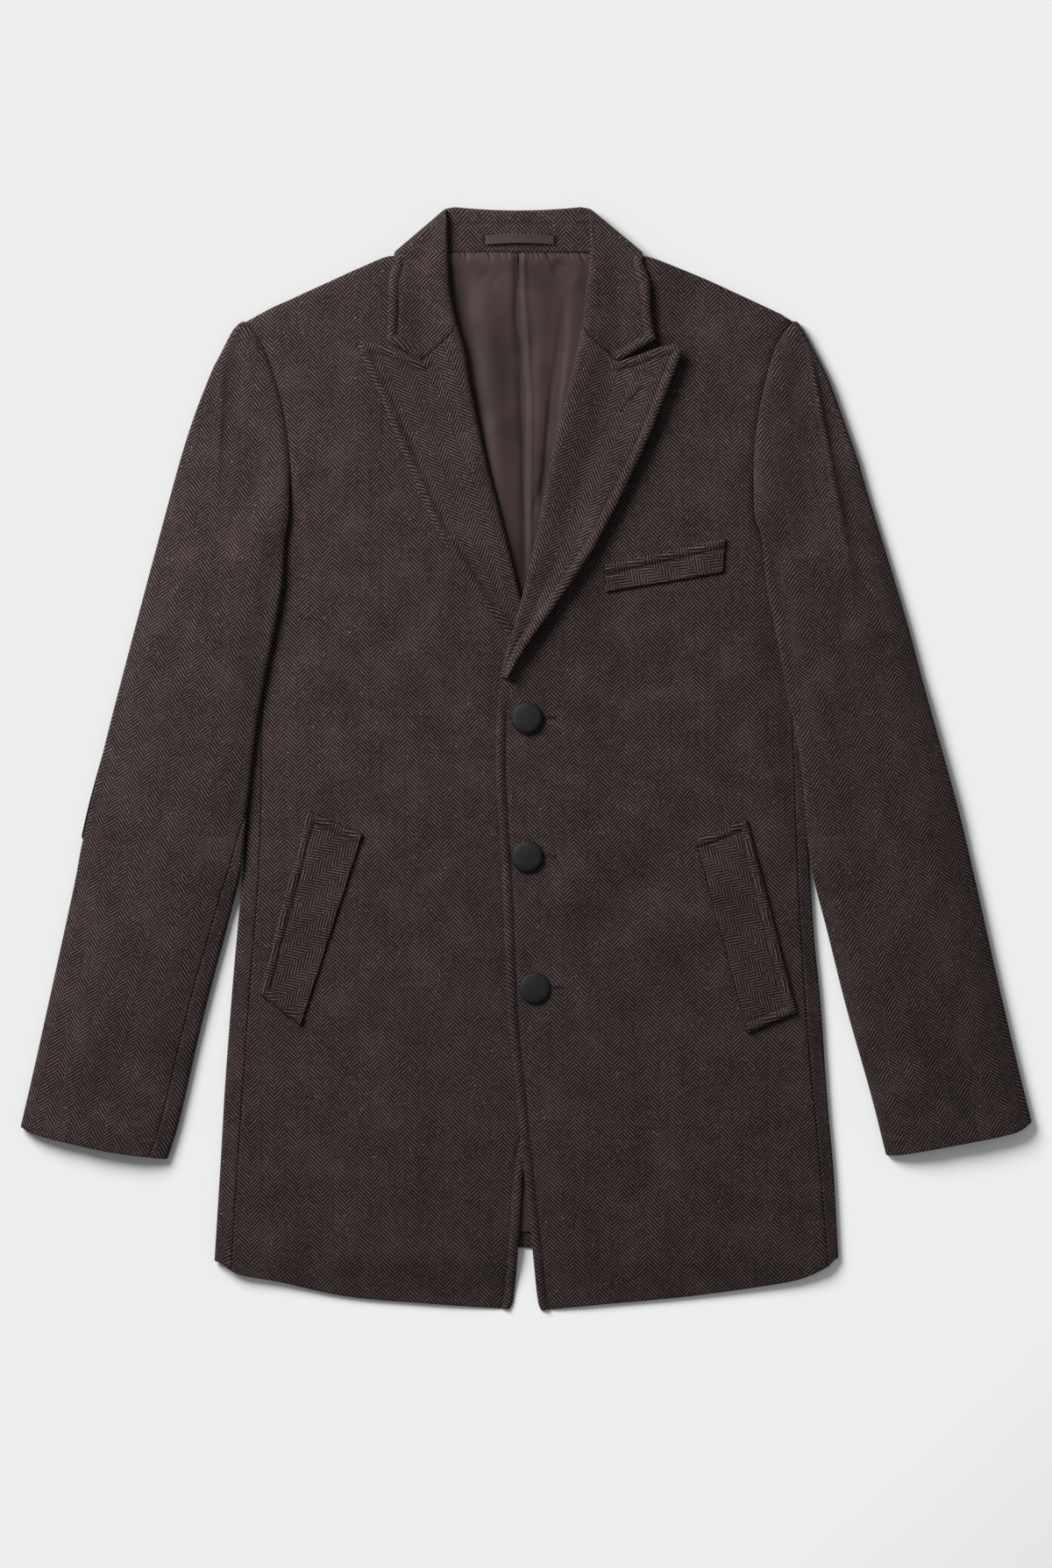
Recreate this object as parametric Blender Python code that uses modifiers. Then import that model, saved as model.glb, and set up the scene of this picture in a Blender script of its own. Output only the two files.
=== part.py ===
"""A single-breasted herringbone overcoat with peak lapels, buttoned and laid flat, face up.

The coat lies on the plane z = 0 with its neck towards +Y and its face towards +Z. "left" and "right" are the
sides of the picture plane: the left front is the one that passes underneath where the coat buttons.
Each cut piece is a grid whose points are moved into place on the middle surface of the cloth, then thickened.
Sizes and tables are in millimetres; grids are turned into metres when they are made.
"""

import math

import bmesh
import bpy
from mathutils import Matrix, Vector

# Cloth
WALL = 2.5  # overcoat cloth with its canvas or facing
LINING_WALL = 1.2
PATCH_WALL = 1.2
LOOP_WALL = 1.0
SEAM = 0.3  # gap between the edges of two pieces that are sewn together
ROLL_SEAM = 0.8  # the same inside the roll of the lapels and collar
PITCH = 3.0  # from the middle of one layer to the middle of the layer lying on it

# Heights of the middle of each layer above the surface
BACK_LEVEL = WALL / 2
LINING_LEVEL = WALL + 0.6 + LINING_WALL / 2
FRONT_LEVEL = 7.4
STAND_LEVEL = BACK_LEVEL + 2 * PITCH
STAND_INSET = 8.5  # how much shorter the turned-down end of the stand is, at each side
SHOULDER_DROP = 3.0  # the fronts turn down to the back at the shoulder
SHOULDER_ROUND = 6.0
HEM_DROOP = 5.0  # the fronts sink towards the surface beyond the back's hem
PATCH_LIFT = 1.9
SPRING = {"left": 0.4, "right": 3.5}  # the lapel's outer edge stands off the front
ROLL_FULLNESS = 3.0
HOOK_ANGLES = (-90, -78, -36, 6, 48)  # round the fold of the roll, in degrees

# Places along the coat
MIDDLE = -7.0  # the neck's middle
UNDERARM = 157.0
ARMPIT = 188.0  # where the sleeve's fold leaves the armhole
BREAK = 52.0  # where the lapels start to turn
NECK_SEAM = 410.7
UNDERARM_RISE = 0.7  # the back's edge where its side fold ends
UNDERARM_INSET = 4.0  # the front's edge, hidden under the sleeve, keeps clear of the fold of the back

# The outline of the body below the underarm and of the armhole above it: y, x
OUTLINE = {
    "left": [
        (-407, -253), (-327, -248), (-259, -244), (-168, -237), (-78, -229), (0, -226), (80, -221),
        (157, -212), (172, -203), (190, -193.5), (217, -192), (255, -193), (289, -198.5), (317, -206.5),
        (340, -216), (354, -227),
    ],
    "right": [
        (-405, 253), (-333, 249), (-276, 244), (-197, 238.5), (-140, 233), (-24, 226), (60, 221),
        (157, 209), (172, 197), (190, 186), (217, 184), (252, 184.5), (274, 187), (305, 193), (335, 202),
        (354.5, 215),
    ],
}
# The side seam, on the upper face: y, x
SIDE_SEAM = {
    "left": [(-414.5, -239), (-327, -233.5), (-259, -229), (-168, -222.5), (-78, -216), (80, -213), (157, -208)],
    "right": [(-411, 244.5), (-310, 236), (-244, 229.5), (-118, 221), (22, 216), (90, 212.5), (157, 205)],
}
# The fronts' hems from the side seam to the front edge, and the back's from side to side: x, y
FRONT_HEM = {
    "left": [(-239, -414.5), (-229, -418.5), (-201, -423.5), (-146, -435.5), (-80, -441.5), (-14, -446)],
    "right": [(244.5, -411), (227, -419.5), (202, -425.5), (132, -435.5), (58, -442.5), (12, -447)],
}
BACK_HEM = [(-253, -407), (-150, -400), (0, -396), (150, -400), (253, -405)]
# The shoulders from the armhole to the neck, the last rows under the collar: x, y
SHOULDER = {
    "left": [(-227, 354), (-206, 365.5), (-187, 374), (-142, 394.5), (-115, 406), (-102, 408), (-84, 417), (-68, 423)],
    "right": [(215, 354.5), (203.5, 361.5), (153, 385), (127, 396), (102, 405.5), (89, 408), (72, 417), (56, 423)],
}
# The front edges below the break and the roll lines above it: y, x
FRONT_EDGE = {
    "left": [
        (-446, -14), (-441, -11), (-394, -6.5), (-334, -2), (-290, 6), (-208, 14), (-95, 19.5), (0, 23),
        (50, 21), (95, 6), (130, -4), (189, -18.5), (246, -33), (300, -44.5), (333, -50), (352, -56),
        (380, -61.5), (405, -63), (448, -64.5),
    ],
    "right": [
        (-447, 12), (-441, 9.5), (-393, 4.5), (-334, -2), (-259, -9.5), (-208, -14.5), (-95, -19.5),
        (-24, -24), (12, -24.5), (50, -23), (77, -19), (100, -12.5), (132, -3.5), (171, 5.5), (189, 9),
        (246, 20), (278, 28), (316, 37), (347, 44.5), (383, 48.5), (405, 51), (448, 50.5),
    ],
}
# Heights at which the rows of a front end along its roll line
ROLL_ROWS = (70, 98, 130, 162, 194, 225, 255, 283, 310, 332, 350, 366, 384, 400, 411, 423)
# The lapels' outer edges from the end by the break to the peak: x, y
LAPEL_OUTER = {
    "left": [
        (0, 84), (-12.5, 100), (-37, 128), (-63, 170), (-71.5, 182), (-99, 246), (-119, 296),
        (-129, 316), (-135, 333),
    ],
    "right": [
        (-15.5, 66), (-11.5, 72.5), (-0.5, 91), (15.5, 113), (48, 160), (64.5, 189), (79, 217.5),
        (100.5, 264), (115, 301), (124.5, 325.5), (125.5, 330),
    ],
}
# The gorge seam from the roll to the notch, and the lapel's top edge on to the peak: x, y
GORGE = {"left": [(-56.5, 350), (-85, 322.5)], "right": [(45, 348), (74, 322)]}
LAPEL_TOP = {
    "left": [(-85, 322.5), (-110, 330), (-132, 336), (-135, 333)],
    "right": [(74, 322), (87, 326), (108, 333), (121, 335), (125.5, 330)],
}
# The collar leaf's outer edge from its corner to the shoulder: x, y
LEAF_OUTER = {
    "left": [(-112.5, 339.5), (-111.5, 358), (-111, 380), (-110.5, 390), (-106.7, 401.7)],
    "right": [(104.5, 339.5), (101, 357.5), (99.5, 383), (98, 391), (93.7, 401.7)],
}
# Where the collar turns over the shoulder: the two ends of the fold that is the outline there
CREASE_CORNER = {"left": (-64.3, 447.5), "right": (50.3, 447.5)}
OUTER_CORNER = {"left": (-106.5, 411.5), "right": (93.5, 411.5)}
# The sleeves' outer folds from the shoulder to the cuff, and inner folds from the cuff to the armpit: x, y
SLEEVE_OUTER = {
    "left": [
        (-231, 354), (-238, 348), (-250, 325), (-256, 313), (-275, 262), (-299, 175), (-329, 61.5),
        (-345.5, -4.5), (-360, -68), (-368, -109), (-396, -237), (-410, -298),
    ],
    "right": [
        (220, 354), (226, 345.5), (242, 315), (249, 298.5), (268, 245), (276, 217.5), (306.5, 118),
        (324, 53), (349, -36.5), (364, -99), (379, -166), (396, -239), (409.5, -294),
    ],
}
SLEEVE_INNER = {
    "left": [
        (-291, -324), (-276, -262), (-268.5, -237), (-234, -95), (-228.5, -31.5), (-218.5, 38.5),
        (-204, 122), (-197, 158), (-193.5, 188),
    ],
    "right": [
        (291.5, -321), (278.5, -269.5), (259, -201), (243, -135), (233, -95), (222.5, -0.5), (207, 75),
        (200, 115), (191.5, 169), (187, 188),
    ],
}
CUFF = {
    "left": [(-410, -298), (-394, -305), (-343, -317), (-309, -322), (-291, -324)],
    "right": [(409.5, -294), (394, -303), (343, -313.5), (306, -320), (291.5, -321)],
}
# How far the sleeve's front seam lies in from its inner fold, on the upper face: y, distance
SLEEVE_SEAM = {"left": [(-324, 17), (-95, 13), (-37, 6), (188, 6)], "right": [(-324, 6), (188, 6)]}
# The lining's half width from its hem up to the neck, its ends there, and its hem's middle: x, y
LINING_SIDE = [(-205, -378), (-190, -80), (-170, 20), (-162, 200), (-152, 300), (-110, 372), (-58, 410.7)]
LINING_NECK = {"left": -64, "right": 51}
LINING_LOW = -383
PLEAT_RISE = 0.9
# Elbow patches under the sleeves: middle x, middle y, half width, half length, turn in degrees
ELBOW_PATCH = {"left": (-306.5, -10, 44, 62, -13), "right": (298, -10, 40, 62, 13)}
# The welts' corners: lower inner, lower outer, upper outer, upper inner: x, y
WELTS = {
    "welt_chest": [(64, 135.3), (159.5, 151.5), (161, 179), (63.3, 157)],
    "welt_hip_left": [(-182.5, -215.5), (-216, -189), (-177, -42), (-132.5, -61)],
    "welt_hip_right": [(179.5, -221.5), (219, -205), (178.5, -48.5), (137, -64.5)],
}
# Buttons: x, y
BUTTONS = {"button_1": (0.4, 33.7), "button_2": (0.7, -78.5), "button_3": (6.7, -185.0)}
BUTTON_RADIUS = 12.8
BUTTON_HEIGHT = 4.6
BUTTON_RIM = 2.6
BUTTON_SIDES = 24
# Hanger loop: its two ends, its edges, and how high it bows off the stand
LOOP_ENDS = (-33.7, 23.1)
LOOP_EDGES = (416.6, 424.4)
LOOP_BOW = 2.0

TWEED = ("tweed", (0.050, 0.037, 0.035), 0.95)
SATIN = ("lining satin", (0.075, 0.052, 0.050), 0.45)
SUEDE = ("elbow suede", (0.012, 0.010, 0.010), 0.9)
COVERED = ("covered button", (0.024, 0.025, 0.027), 0.7)

SIGN = {"left": -1, "right": 1}
NOTCH = 0.5  # share of the way across a lapel or collar leaf at which the notch begins


def ease(start, end, value):
    """0 before start, 1 after end, and a smooth rise between."""
    share = min(max((value - start) / (end - start), 0), 1)
    return share * share * (3 - 2 * share)


def mix(first, second, share):
    return first * (1 - share) + second * share


def slope(rows, index):
    low = max(index - 1, 0)
    high = min(index + 1, len(rows) - 1)
    return (rows[high][1] - rows[low][1]) / (rows[high][0] - rows[low][0])


def read(rows, place):
    """The second column of a table at a place in its first, on a smooth curve through its rows."""
    rows = sorted(rows)
    place = min(max(place, rows[0][0]), rows[-1][0])
    index = next(i for i in range(len(rows) - 1) if place <= rows[i + 1][0])
    (start, low), (end, high) = rows[index], rows[index + 1]
    step = end - start
    t = (place - start) / step
    out = slope(rows, index) * step
    into = slope(rows, index + 1) * step
    return low + t * (out + t * (3 * (high - low) - 2 * out - into + t * (out + into - 2 * (high - low))))


def smooth_line(rows, steps=8):
    """Points on a smooth curve through the rows of a table of x, y."""
    points = [Vector(row) for row in rows]
    ends = [2 * points[0] - points[1], *points, 2 * points[-1] - points[-2]]
    line = []
    for before, start, end, after in zip(ends, ends[1:], ends[2:], ends[3:]):
        for step in range(steps):
            t = step / steps
            bend = 2 * before - 5 * start + 4 * end - after
            turn = 3 * start - before - 3 * end + after
            line.append(0.5 * (2 * start + t * (end - before) + t * t * bend + t * t * t * turn))
    return line + [points[-1]]


def route(*lines):
    """Gives the point at each share, 0 to 1, of the way along lines that follow one another."""
    points = [point for line in lines for point in line]
    lengths = [0.0]
    for start, end in zip(points, points[1:]):
        lengths.append(lengths[-1] + (end - start).length)

    def at(share):
        want = share * lengths[-1]
        index = next(i for i in range(len(points) - 1) if want <= lengths[i + 1] or i == len(points) - 2)
        span = max(lengths[index + 1] - lengths[index], 1e-9)
        return points[index].lerp(points[index + 1], (want - lengths[index]) / span)

    at.shares = [length / lengths[-1] for length in lengths]
    return at


def panel(start_side, end_side, bottom, top):
    """A flat pattern piece: the point at u across in a row, between two sides and two edges that meet them."""
    last = len(start_side) - 1

    def at(u, row):
        v = row / last
        across = start_side[row] * (1 - u) + end_side[row] * u
        along = bottom(u) * (1 - v) + top(u) * v
        low = start_side[0] * (1 - u) + end_side[0] * u
        high = start_side[-1] * (1 - u) + end_side[-1] * u
        return across + along - low * (1 - v) - high * v

    return at


def bent(first, second):
    """An edge that turns a corner, along a leaf where its notch begins."""
    before, after = route(first), route(second)
    return lambda u: before(u / NOTCH) if u <= NOTCH else after((u - NOTCH) / (1 - NOTCH))


def evenly(count, start=0.0, end=1.0):
    return [start + (end - start) * i / count for i in range(count + 1)]


def spaced(line, count):
    """Points at even shares of a line."""
    at = route(line)
    return [at(share) for share in evenly(count)]


def body_side(side, count):
    """Points up the body's outline from the hem to the underarm."""
    low = OUTLINE[side][0][0]
    return spaced([Vector((read(OUTLINE[side], y), y)) for y in evenly(24, low, UNDERARM)], count)


def armhole(side, start=UNDERARM):
    """The rows of the armhole seam, shared by the pieces that meet there."""
    return [Vector((x, y)) for y, x in OUTLINE[side] if y >= start]


def neck_lift(x, y):
    """The layers at the neck lie on the collar's fall, which passes behind them."""
    return PITCH * ease(325, 393, y) * (1 - ease(104, 150, abs(x - MIDDLE)))


def inside(side, x, y):
    """How far a point is in from the body's outline."""
    return SIGN[side] * (read(OUTLINE[side], y) - x)


def front_level(side, x, y):
    """The middle of the front's cloth, and of the back's where it wraps over the side."""
    pressed = ease(-50, 20, y) * (1 - ease(150, 195, y)) * (1 - ease(10, 50, inside(side, x, y)))
    level = FRONT_LEVEL - (FRONT_LEVEL - BACK_LEVEL - PITCH) * pressed
    overhang = read(BACK_HEM, x) - y
    return level + neck_lift(x, y) - HEM_DROOP * ease(-4, 42, overhang)


def shoulder_turn(side, x, y):
    """How far the front has turned down at the shoulder."""
    rows = [(sx, sy) for sx, sy in SHOULDER[side]]
    depth = (read(rows, x) - y) * 0.9
    share = min(max(1 - depth / SHOULDER_ROUND, 0), 1)
    return SHOULDER_DROP * (1 - math.sqrt(1 - share * share))


def overlap_lift(x, y):
    """The right front lies on the left front, and near the break on the left lapel too."""
    reach = 1 - ease(26, 84, x)
    on_front = ease(-390, -337, y) * (1 - ease(140, 215, y))
    on_lapel = ease(12, 74, y) * (1 - ease(140, 215, y))
    return PITCH * reach * (on_front + on_lapel)


def cloth_level(side, x, y):
    """The middle of a front's cloth away from its turned edges."""
    lift = overlap_lift(x, y) if side == "right" else 0
    return front_level(side, x, y) + lift


def roll_gap(side, y):
    """From the front's level to the lapel's or collar's at the fold of the roll line."""
    start = {"left": (120, 220), "right": (60, 150)}[side]
    fullness = ROLL_FULLNESS * ease(*start, y) * (1 - 0.6 * ease(375, 425, y))
    return PITCH + fullness


def fold_radius(side, y):
    return roll_gap(side, y) / 2 + WALL / 2


def hook(side, y, angle):
    """A point on the roll's fold: how far in from the roll line, and how high above the front's level."""
    radius = roll_gap(side, y) / 2
    return fold_radius(side, y) - radius * math.cos(angle), radius * (1 + math.sin(angle))


def make_material(name, colour, roughness):
    found = bpy.data.materials.get(name)
    if found:
        return found
    material = bpy.data.materials.new(name)
    material.use_nodes = True
    shader = material.node_tree.nodes["Principled BSDF"]
    shader.inputs["Base Color"].default_value = (*colour, 1)
    shader.inputs["Roughness"].default_value = roughness
    shader.inputs["Metallic"].default_value = 0
    return material


def add_piece(name, mesh, finish):
    mesh.materials.append(make_material(*finish))
    piece = bpy.data.objects.new(name, mesh)
    coat.objects.link(piece)
    return piece


def cloth(name, places, finish=TWEED, wall=WALL, face_up=True):
    """A piece of cloth from rows of points on its middle surface, in millimetres."""
    rows, columns = len(places), len(places[0])
    grid = bmesh.new()
    bmesh.ops.create_grid(grid, x_segments=columns - 1, y_segments=rows - 1, size=0.5)
    for vertex in grid.verts:
        row = round((vertex.co.y + 0.5) * (rows - 1))
        column = round((vertex.co.x + 0.5) * (columns - 1))
        vertex.co = Vector(places[row][column]) * 0.001
    if not face_up:
        bmesh.ops.reverse_faces(grid, faces=grid.faces)
    mesh = bpy.data.meshes.new(name)
    grid.to_mesh(mesh)
    grid.free()
    mesh.shade_smooth()
    piece = add_piece(name, mesh, finish)
    thicken = piece.modifiers.new("Wall", "SOLIDIFY")
    thicken.thickness = wall * 0.001
    thicken.offset = 0
    thicken.use_even_offset = True
    return piece


def make_front(side):
    """A front: side seam and armhole, shoulder, roll line and front edge, hem."""
    low = SIDE_SEAM[side][0][0]
    seam = []
    for y in evenly(18, low, UNDERARM):
        seam.append(Vector((read(SIDE_SEAM[side], y) - SIGN[side] * UNDERARM_INSET * ease(95, 150, y), y)))
    hole = armhole(side)
    near_shoulder = [hole[-2].lerp(hole[-1], share) for share in (0.55, 0.8, 0.92)]
    outer = [*seam, *hole[1:-1], *near_shoulder, hole[-1]]
    inner = []
    for y in [*evenly(len(outer) - len(ROLL_ROWS) - 1, FRONT_EDGE[side][0][0], BREAK - 2), *ROLL_ROWS]:
        depth = (fold_radius(side, y) + ROLL_SEAM) * ease(BREAK - 2, BREAK + 14, y)
        inner.append(Vector((read(FRONT_EDGE[side], y) + SIGN[side] * depth, y)))
    shoulder = route(smooth_line(SHOULDER[side]) + [inner[-1]])
    plan = panel(outer, inner, route(smooth_line(FRONT_HEM[side])), shoulder)
    places = []
    for row in range(len(outer)):
        points = [plan(u, row) for u in evenly(11)]
        places.append([(x, y, cloth_level(side, x, y) - shoulder_turn(side, x, y)) for x, y in points])
    cloth("front_" + side, places, face_up=side == "left")


def make_back():
    """The back: it lies on the surface and wraps over both sides as far as the side seams."""
    body_rows = 15
    sides = {side: body_side(side, body_rows) + armhole(side)[1:] for side in ("left", "right")}
    neck = [Vector(point) for point in ((-98, 404), (-62, 410.5), (48, 410.5), (84, 404))]
    left_shoulder = smooth_line(SHOULDER["left"][:-3])
    right_shoulder = list(reversed(smooth_line(SHOULDER["right"][:-3])))
    top = route(left_shoulder, neck, right_shoulder)
    plan = panel(sides["left"], sides["right"], route(smooth_line(BACK_HEM)), top)
    places = []
    for row in range(len(sides["left"])):
        start, end = sides["left"][row], sides["right"][row]
        left = back_wrap("left", start, row <= body_rows)
        right = back_wrap("right", end, row <= body_rows)
        width = end.x - start.x
        shares = evenly(10, (left[-1][0] - start.x) / width, (right[-1][0] - start.x) / width)
        flat = [plan(u, row) for u in shares[1:-1]]
        middle = [(x, y, BACK_LEVEL + neck_lift(x, y)) for x, y in flat]
        places.append(left + middle + list(reversed(right)))
    cloth("back", places)


def back_wrap(side, edge, turned):
    """From the side seam round the fold to the underside, or the flat strip along the armhole."""
    sign = SIGN[side]
    angles = [math.radians(angle) for angle in (90, 45, 0, -45, -90)]
    if not turned:
        strip = [(edge.x - sign * step, edge.y) for step in range(len(angles) + 2)]
        rise = UNDERARM_RISE * (1 - ease(175, 215, edge.y))
        return [(x, y, BACK_LEVEL + neck_lift(x, y) + rise) for x, y in strip]
    y = edge.y
    level = front_level(side, edge.x, y)
    radius = (level - BACK_LEVEL) / 2
    reach = radius + WALL / 2
    hem_slope = (FRONT_HEM[side][0][1] - OUTLINE[side][0][0]) * (1 - ease(-410, -350, y))
    seam = max(sign * (edge.x - read(SIDE_SEAM[side], y + hem_slope)) - SEAM, reach + 0.4)
    wrap = []
    for share in (1, 0.5):
        inward = mix(reach, seam, share)
        x = edge.x - sign * inward
        wrap.append((x, y + hem_slope * (inward - reach) / max(seam - reach, 1), front_level(side, x, y)))
    for angle in angles:
        inward = reach - radius * math.cos(angle)
        wrap.append((edge.x - sign * inward, y, BACK_LEVEL + radius + radius * math.sin(angle)))
    return wrap


def make_lining():
    """The back lining, from the neck seam to above the back's hem, with its centre pleat."""
    rows = 16
    sides = {}
    for side in ("left", "right"):
        table = [(-SIGN[side] * x, y) for x, y in LINING_SIDE]
        table[-1] = (LINING_NECK[side], NECK_SEAM)
        sides[side] = spaced(smooth_line(table), rows)
    hem = route([sides["left"][0], Vector((0, LINING_LOW)), sides["right"][0]])
    plan = panel(sides["left"], sides["right"], hem, route([sides["left"][-1], sides["right"][-1]]))
    places = []
    for row in range(rows + 1):
        points = [(u, *plan(u, row)) for u in (0, 0.15, 0.3, 0.42, 0.475, 0.49, 0.51, 0.525, 0.58, 0.7, 0.85, 1)]
        places.append([(x, y, LINING_LEVEL + neck_lift(x, y) + pleat(u, y)) for u, x, y in points])
    cloth("back_lining", places, SATIN, LINING_WALL)


def pleat(u, y):
    """How far the lining's centre pleat stands up."""
    return PLEAT_RISE * ease(0.475, 0.49, u) * (1 - ease(0.51, 0.525, u)) * ease(100, 250, y)


def make_lapel(side):
    """A lapel: the front turned back along the roll line, with the fold that joins it to the front."""
    rows = 18
    gap = Vector((0, -SEAM))
    roll = roll_line(side, LAPEL_OUTER[side][0][1], GORGE[side][0][1] - SEAM, rows)
    outer = spaced(smooth_line(LAPEL_OUTER[side]), rows)
    gorge = [roll[-1], Vector(GORGE[side][1]) + gap]
    plan = panel(
        roll, outer, route([roll[0], outer[0]]), bent(gorge, [point + gap for point in smooth_line(LAPEL_TOP[side])])
    )
    places = []
    for row in range(rows + 1):
        start = fold_radius(side, roll[row].y) / (outer[row] - roll[row]).length
        flat = [turned_leaf(side, *plan(u, row), u, SPRING[side]) for u in leaf_columns(start)]
        places.append(curl(side, roll[row]) + flat)
    cloth("lapel_" + side, places, face_up=side == "right")


def roll_line(side, low, high, count):
    """Points up the roll line."""
    return spaced([Vector((read(FRONT_EDGE[side], y), y)) for y in evenly(24, low, high)], count)


def curl(side, edge):
    """The fold of the roll at one point of the roll line, from the front's level up to the leaf's."""
    base = cloth_level(side, edge.x + SIGN[side] * fold_radius(side, edge.y), edge.y)
    points = []
    for angle in HOOK_ANGLES:
        inward, rise = hook(side, edge.y, math.radians(angle))
        points.append((edge.x + SIGN[side] * inward, edge.y, base + rise))
    return points


def leaf_columns(start):
    """Shares across a leaf from the end of its fold, with one where the notch begins."""
    corner = max(NOTCH, mix(start, 1, 0.5))
    return [mix(start, corner, share) for share in (0, 0.33, 0.67, 1)] + [
        mix(corner, 1, share) for share in (0.36, 0.72, 0.92, 1)
    ]


def turned_leaf(side, x, y, u, spring):
    """A point of a lapel or collar leaf away from its roll."""
    roll = SIGN[side] * (x - read(FRONT_EDGE[side], y))
    near = 1 - ease(fold_radius(side, y), fold_radius(side, y) + 30, roll)
    fullness = (roll_gap(side, y) - PITCH) * near
    return x, y, cloth_level(side, x, y) + PITCH + fullness + spring * ease(0.45, 1, u)


def collar_leaf(side):
    """Rows of the collar's leaf on the front, from the gorge to where it turns over the shoulder."""
    rows = 7
    crease = roll_line(side, GORGE[side][0][1] + SEAM, 437.8, rows)
    outer = spaced(smooth_line(LEAF_OUTER[side]), rows)
    corner = Vector(GORGE[side][1]) + Vector((0, SEAM))
    low = bent([crease[0], corner], [corner, outer[0]])
    plan = panel(crease, outer, low, route([crease[-1], outer[-1]]))
    places = []
    for row in range(rows + 1):
        edge = crease[row]
        start = fold_radius(side, edge.y) / (outer[row] - edge).length
        turned = 1 - ease(415, 436, edge.y)
        line = []
        for index, curled in enumerate(curl(side, edge)):
            laid = Vector(leaf_point(side, plan, start * index / len(HOOK_ANGLES), row, rows))
            line.append(tuple(laid.lerp(Vector(curled), turned)))
        line += [leaf_point(side, plan, u, row, rows) for u in leaf_columns(start)]
        places.append(line)
    return places


def leaf_point(side, plan, u, row, rows):
    rise = row / rows
    x, y, z = turned_leaf(side, *plan(u, row), u, 0.6 * SPRING[side] * (1 - ease(0.5, 1, rise)))
    return x, y, mix(z, collar_top(), ease(0.7, 1, rise))


def collar_top():
    """The collar's level where it turns over the shoulder."""
    return FRONT_LEVEL + 2 * PITCH + 0.6


def collar_fold(side):
    """Rows of the fold over the shoulder, from the leaf down to the fall behind the neck."""
    corner, far = Vector(CREASE_CORNER[side]), Vector(OUTER_CORNER[side])
    along = (far - corner).normalized()
    normal = Vector((along.y, -along.x)) * SIGN[side]
    radius = (collar_top() - BACK_LEVEL) / 2
    rows = []
    for angle in (60, 36, 12, -12, -36, -60, -90):
        turn = math.radians(angle)
        inward = radius + WALL / 2 - radius * math.cos(turn)
        slide = 6.5 * angle / 90
        row = []
        for share in leaf_shares():
            place = corner.lerp(far, share) + normal * inward + along * slide
            drop = 4.0 * max(-angle, 0) / 90 * (1 - share)
            row.append((place.x, place.y - drop, BACK_LEVEL + radius + radius * math.sin(turn)))
        rows.append(row)
    return rows


def leaf_shares():
    """The shares across the collar that its columns lie at, from the crease to the outer edge."""
    width = (Vector(CREASE_CORNER["left"]) - Vector(OUTER_CORNER["left"])).length
    start = fold_radius("left", 437) / width
    hidden = [start * i / len(HOOK_ANGLES) for i in range(len(HOOK_ANGLES))]
    return hidden + leaf_columns(start)


def make_collar():
    """The collar: its two leaves on the fronts, joined by the fall that passes behind the neck."""
    left = collar_leaf("left") + collar_fold("left")
    right = collar_leaf("right") + collar_fold("right")
    fall = []
    for share in evenly(7)[1:-1]:
        row = []
        for start, end, across in zip(left[-1], right[-1], leaf_shares()):
            x = mix(start[0], end[0], share)
            sag = 4 * share * (1 - share)
            low = min(start[1], end[1]) - (9.5 * across + 2.0 * (1 - across)) * sag
            row.append((x, mix(mix(start[1], end[1], share), low, sag), BACK_LEVEL))
        fall.append(row)
    cloth("collar", left + fall + list(reversed(right)), face_up=False)


def stand_top(x):
    """The collar's top edge at the back of the neck, which dips in the middle."""
    middle = (CREASE_CORNER["left"][0] + CREASE_CORNER["right"][0]) / 2
    half = (CREASE_CORNER["right"][0] - CREASE_CORNER["left"][0]) / 2
    return 445.2 + 2.6 * ((x - middle) / half) ** 2


def make_stand():
    """The collar stand behind the neck, turned down at its top edge to meet the collar's fall."""
    radius = (STAND_LEVEL - BACK_LEVEL) / 2
    reach = radius + WALL / 2
    places = []
    for share in evenly(12):
        low_x = mix(-66, 53.5, share)
        top_x = mix(-61, 47, share)
        top_y = stand_top(top_x)
        column = []
        for rise in (0, 0.25, 0.5, 0.75, 1):
            x = mix(low_x, top_x, rise)
            y = mix(NECK_SEAM + SEAM, top_y - reach, rise)
            column.append((x, y, STAND_LEVEL))
        for angle in (60, 30, 0, -30, -60, -90):
            turn = math.radians(angle)
            x = top_x - STAND_INSET * (2 * share - 1) * ((60 - angle) / 150) ** 1.4
            y = top_y - reach + radius * math.cos(turn)
            column.append((x, y, BACK_LEVEL + radius + radius * math.sin(turn)))
        places.append(column)
    cloth("collar_stand", places, face_up=False)


def sleeve_levels(side, x, y):
    """The middles of the under and upper layers of a sleeve, which climbs over the body's side."""
    outside = -inside(side, x, y)
    over = (1 - ease(1, 46, outside)) * ease(-115, -45, y) * (1 - ease(195, 255, y))
    body = front_level(side, x + SIGN[side] * min(outside, 0), y) if outside < 0 else front_level(side, x, y)
    under = mix(BACK_LEVEL, body + PITCH + 0.2, over)
    upper = mix(FRONT_LEVEL, body + 2 * PITCH + 0.2, over)
    middle_x, middle_y, half_width, half_length, turn = ELBOW_PATCH[side]
    place = Vector((x - middle_x, y - middle_y))
    place.rotate(Matrix.Rotation(math.radians(-turn), 2))
    reach = math.hypot(place.x / (half_width + 4), place.y / (half_length + 4))
    patch = PATCH_LIFT * (1 - ease(1.1, 1.5, reach))
    return under + patch * (1 - over), upper


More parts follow.
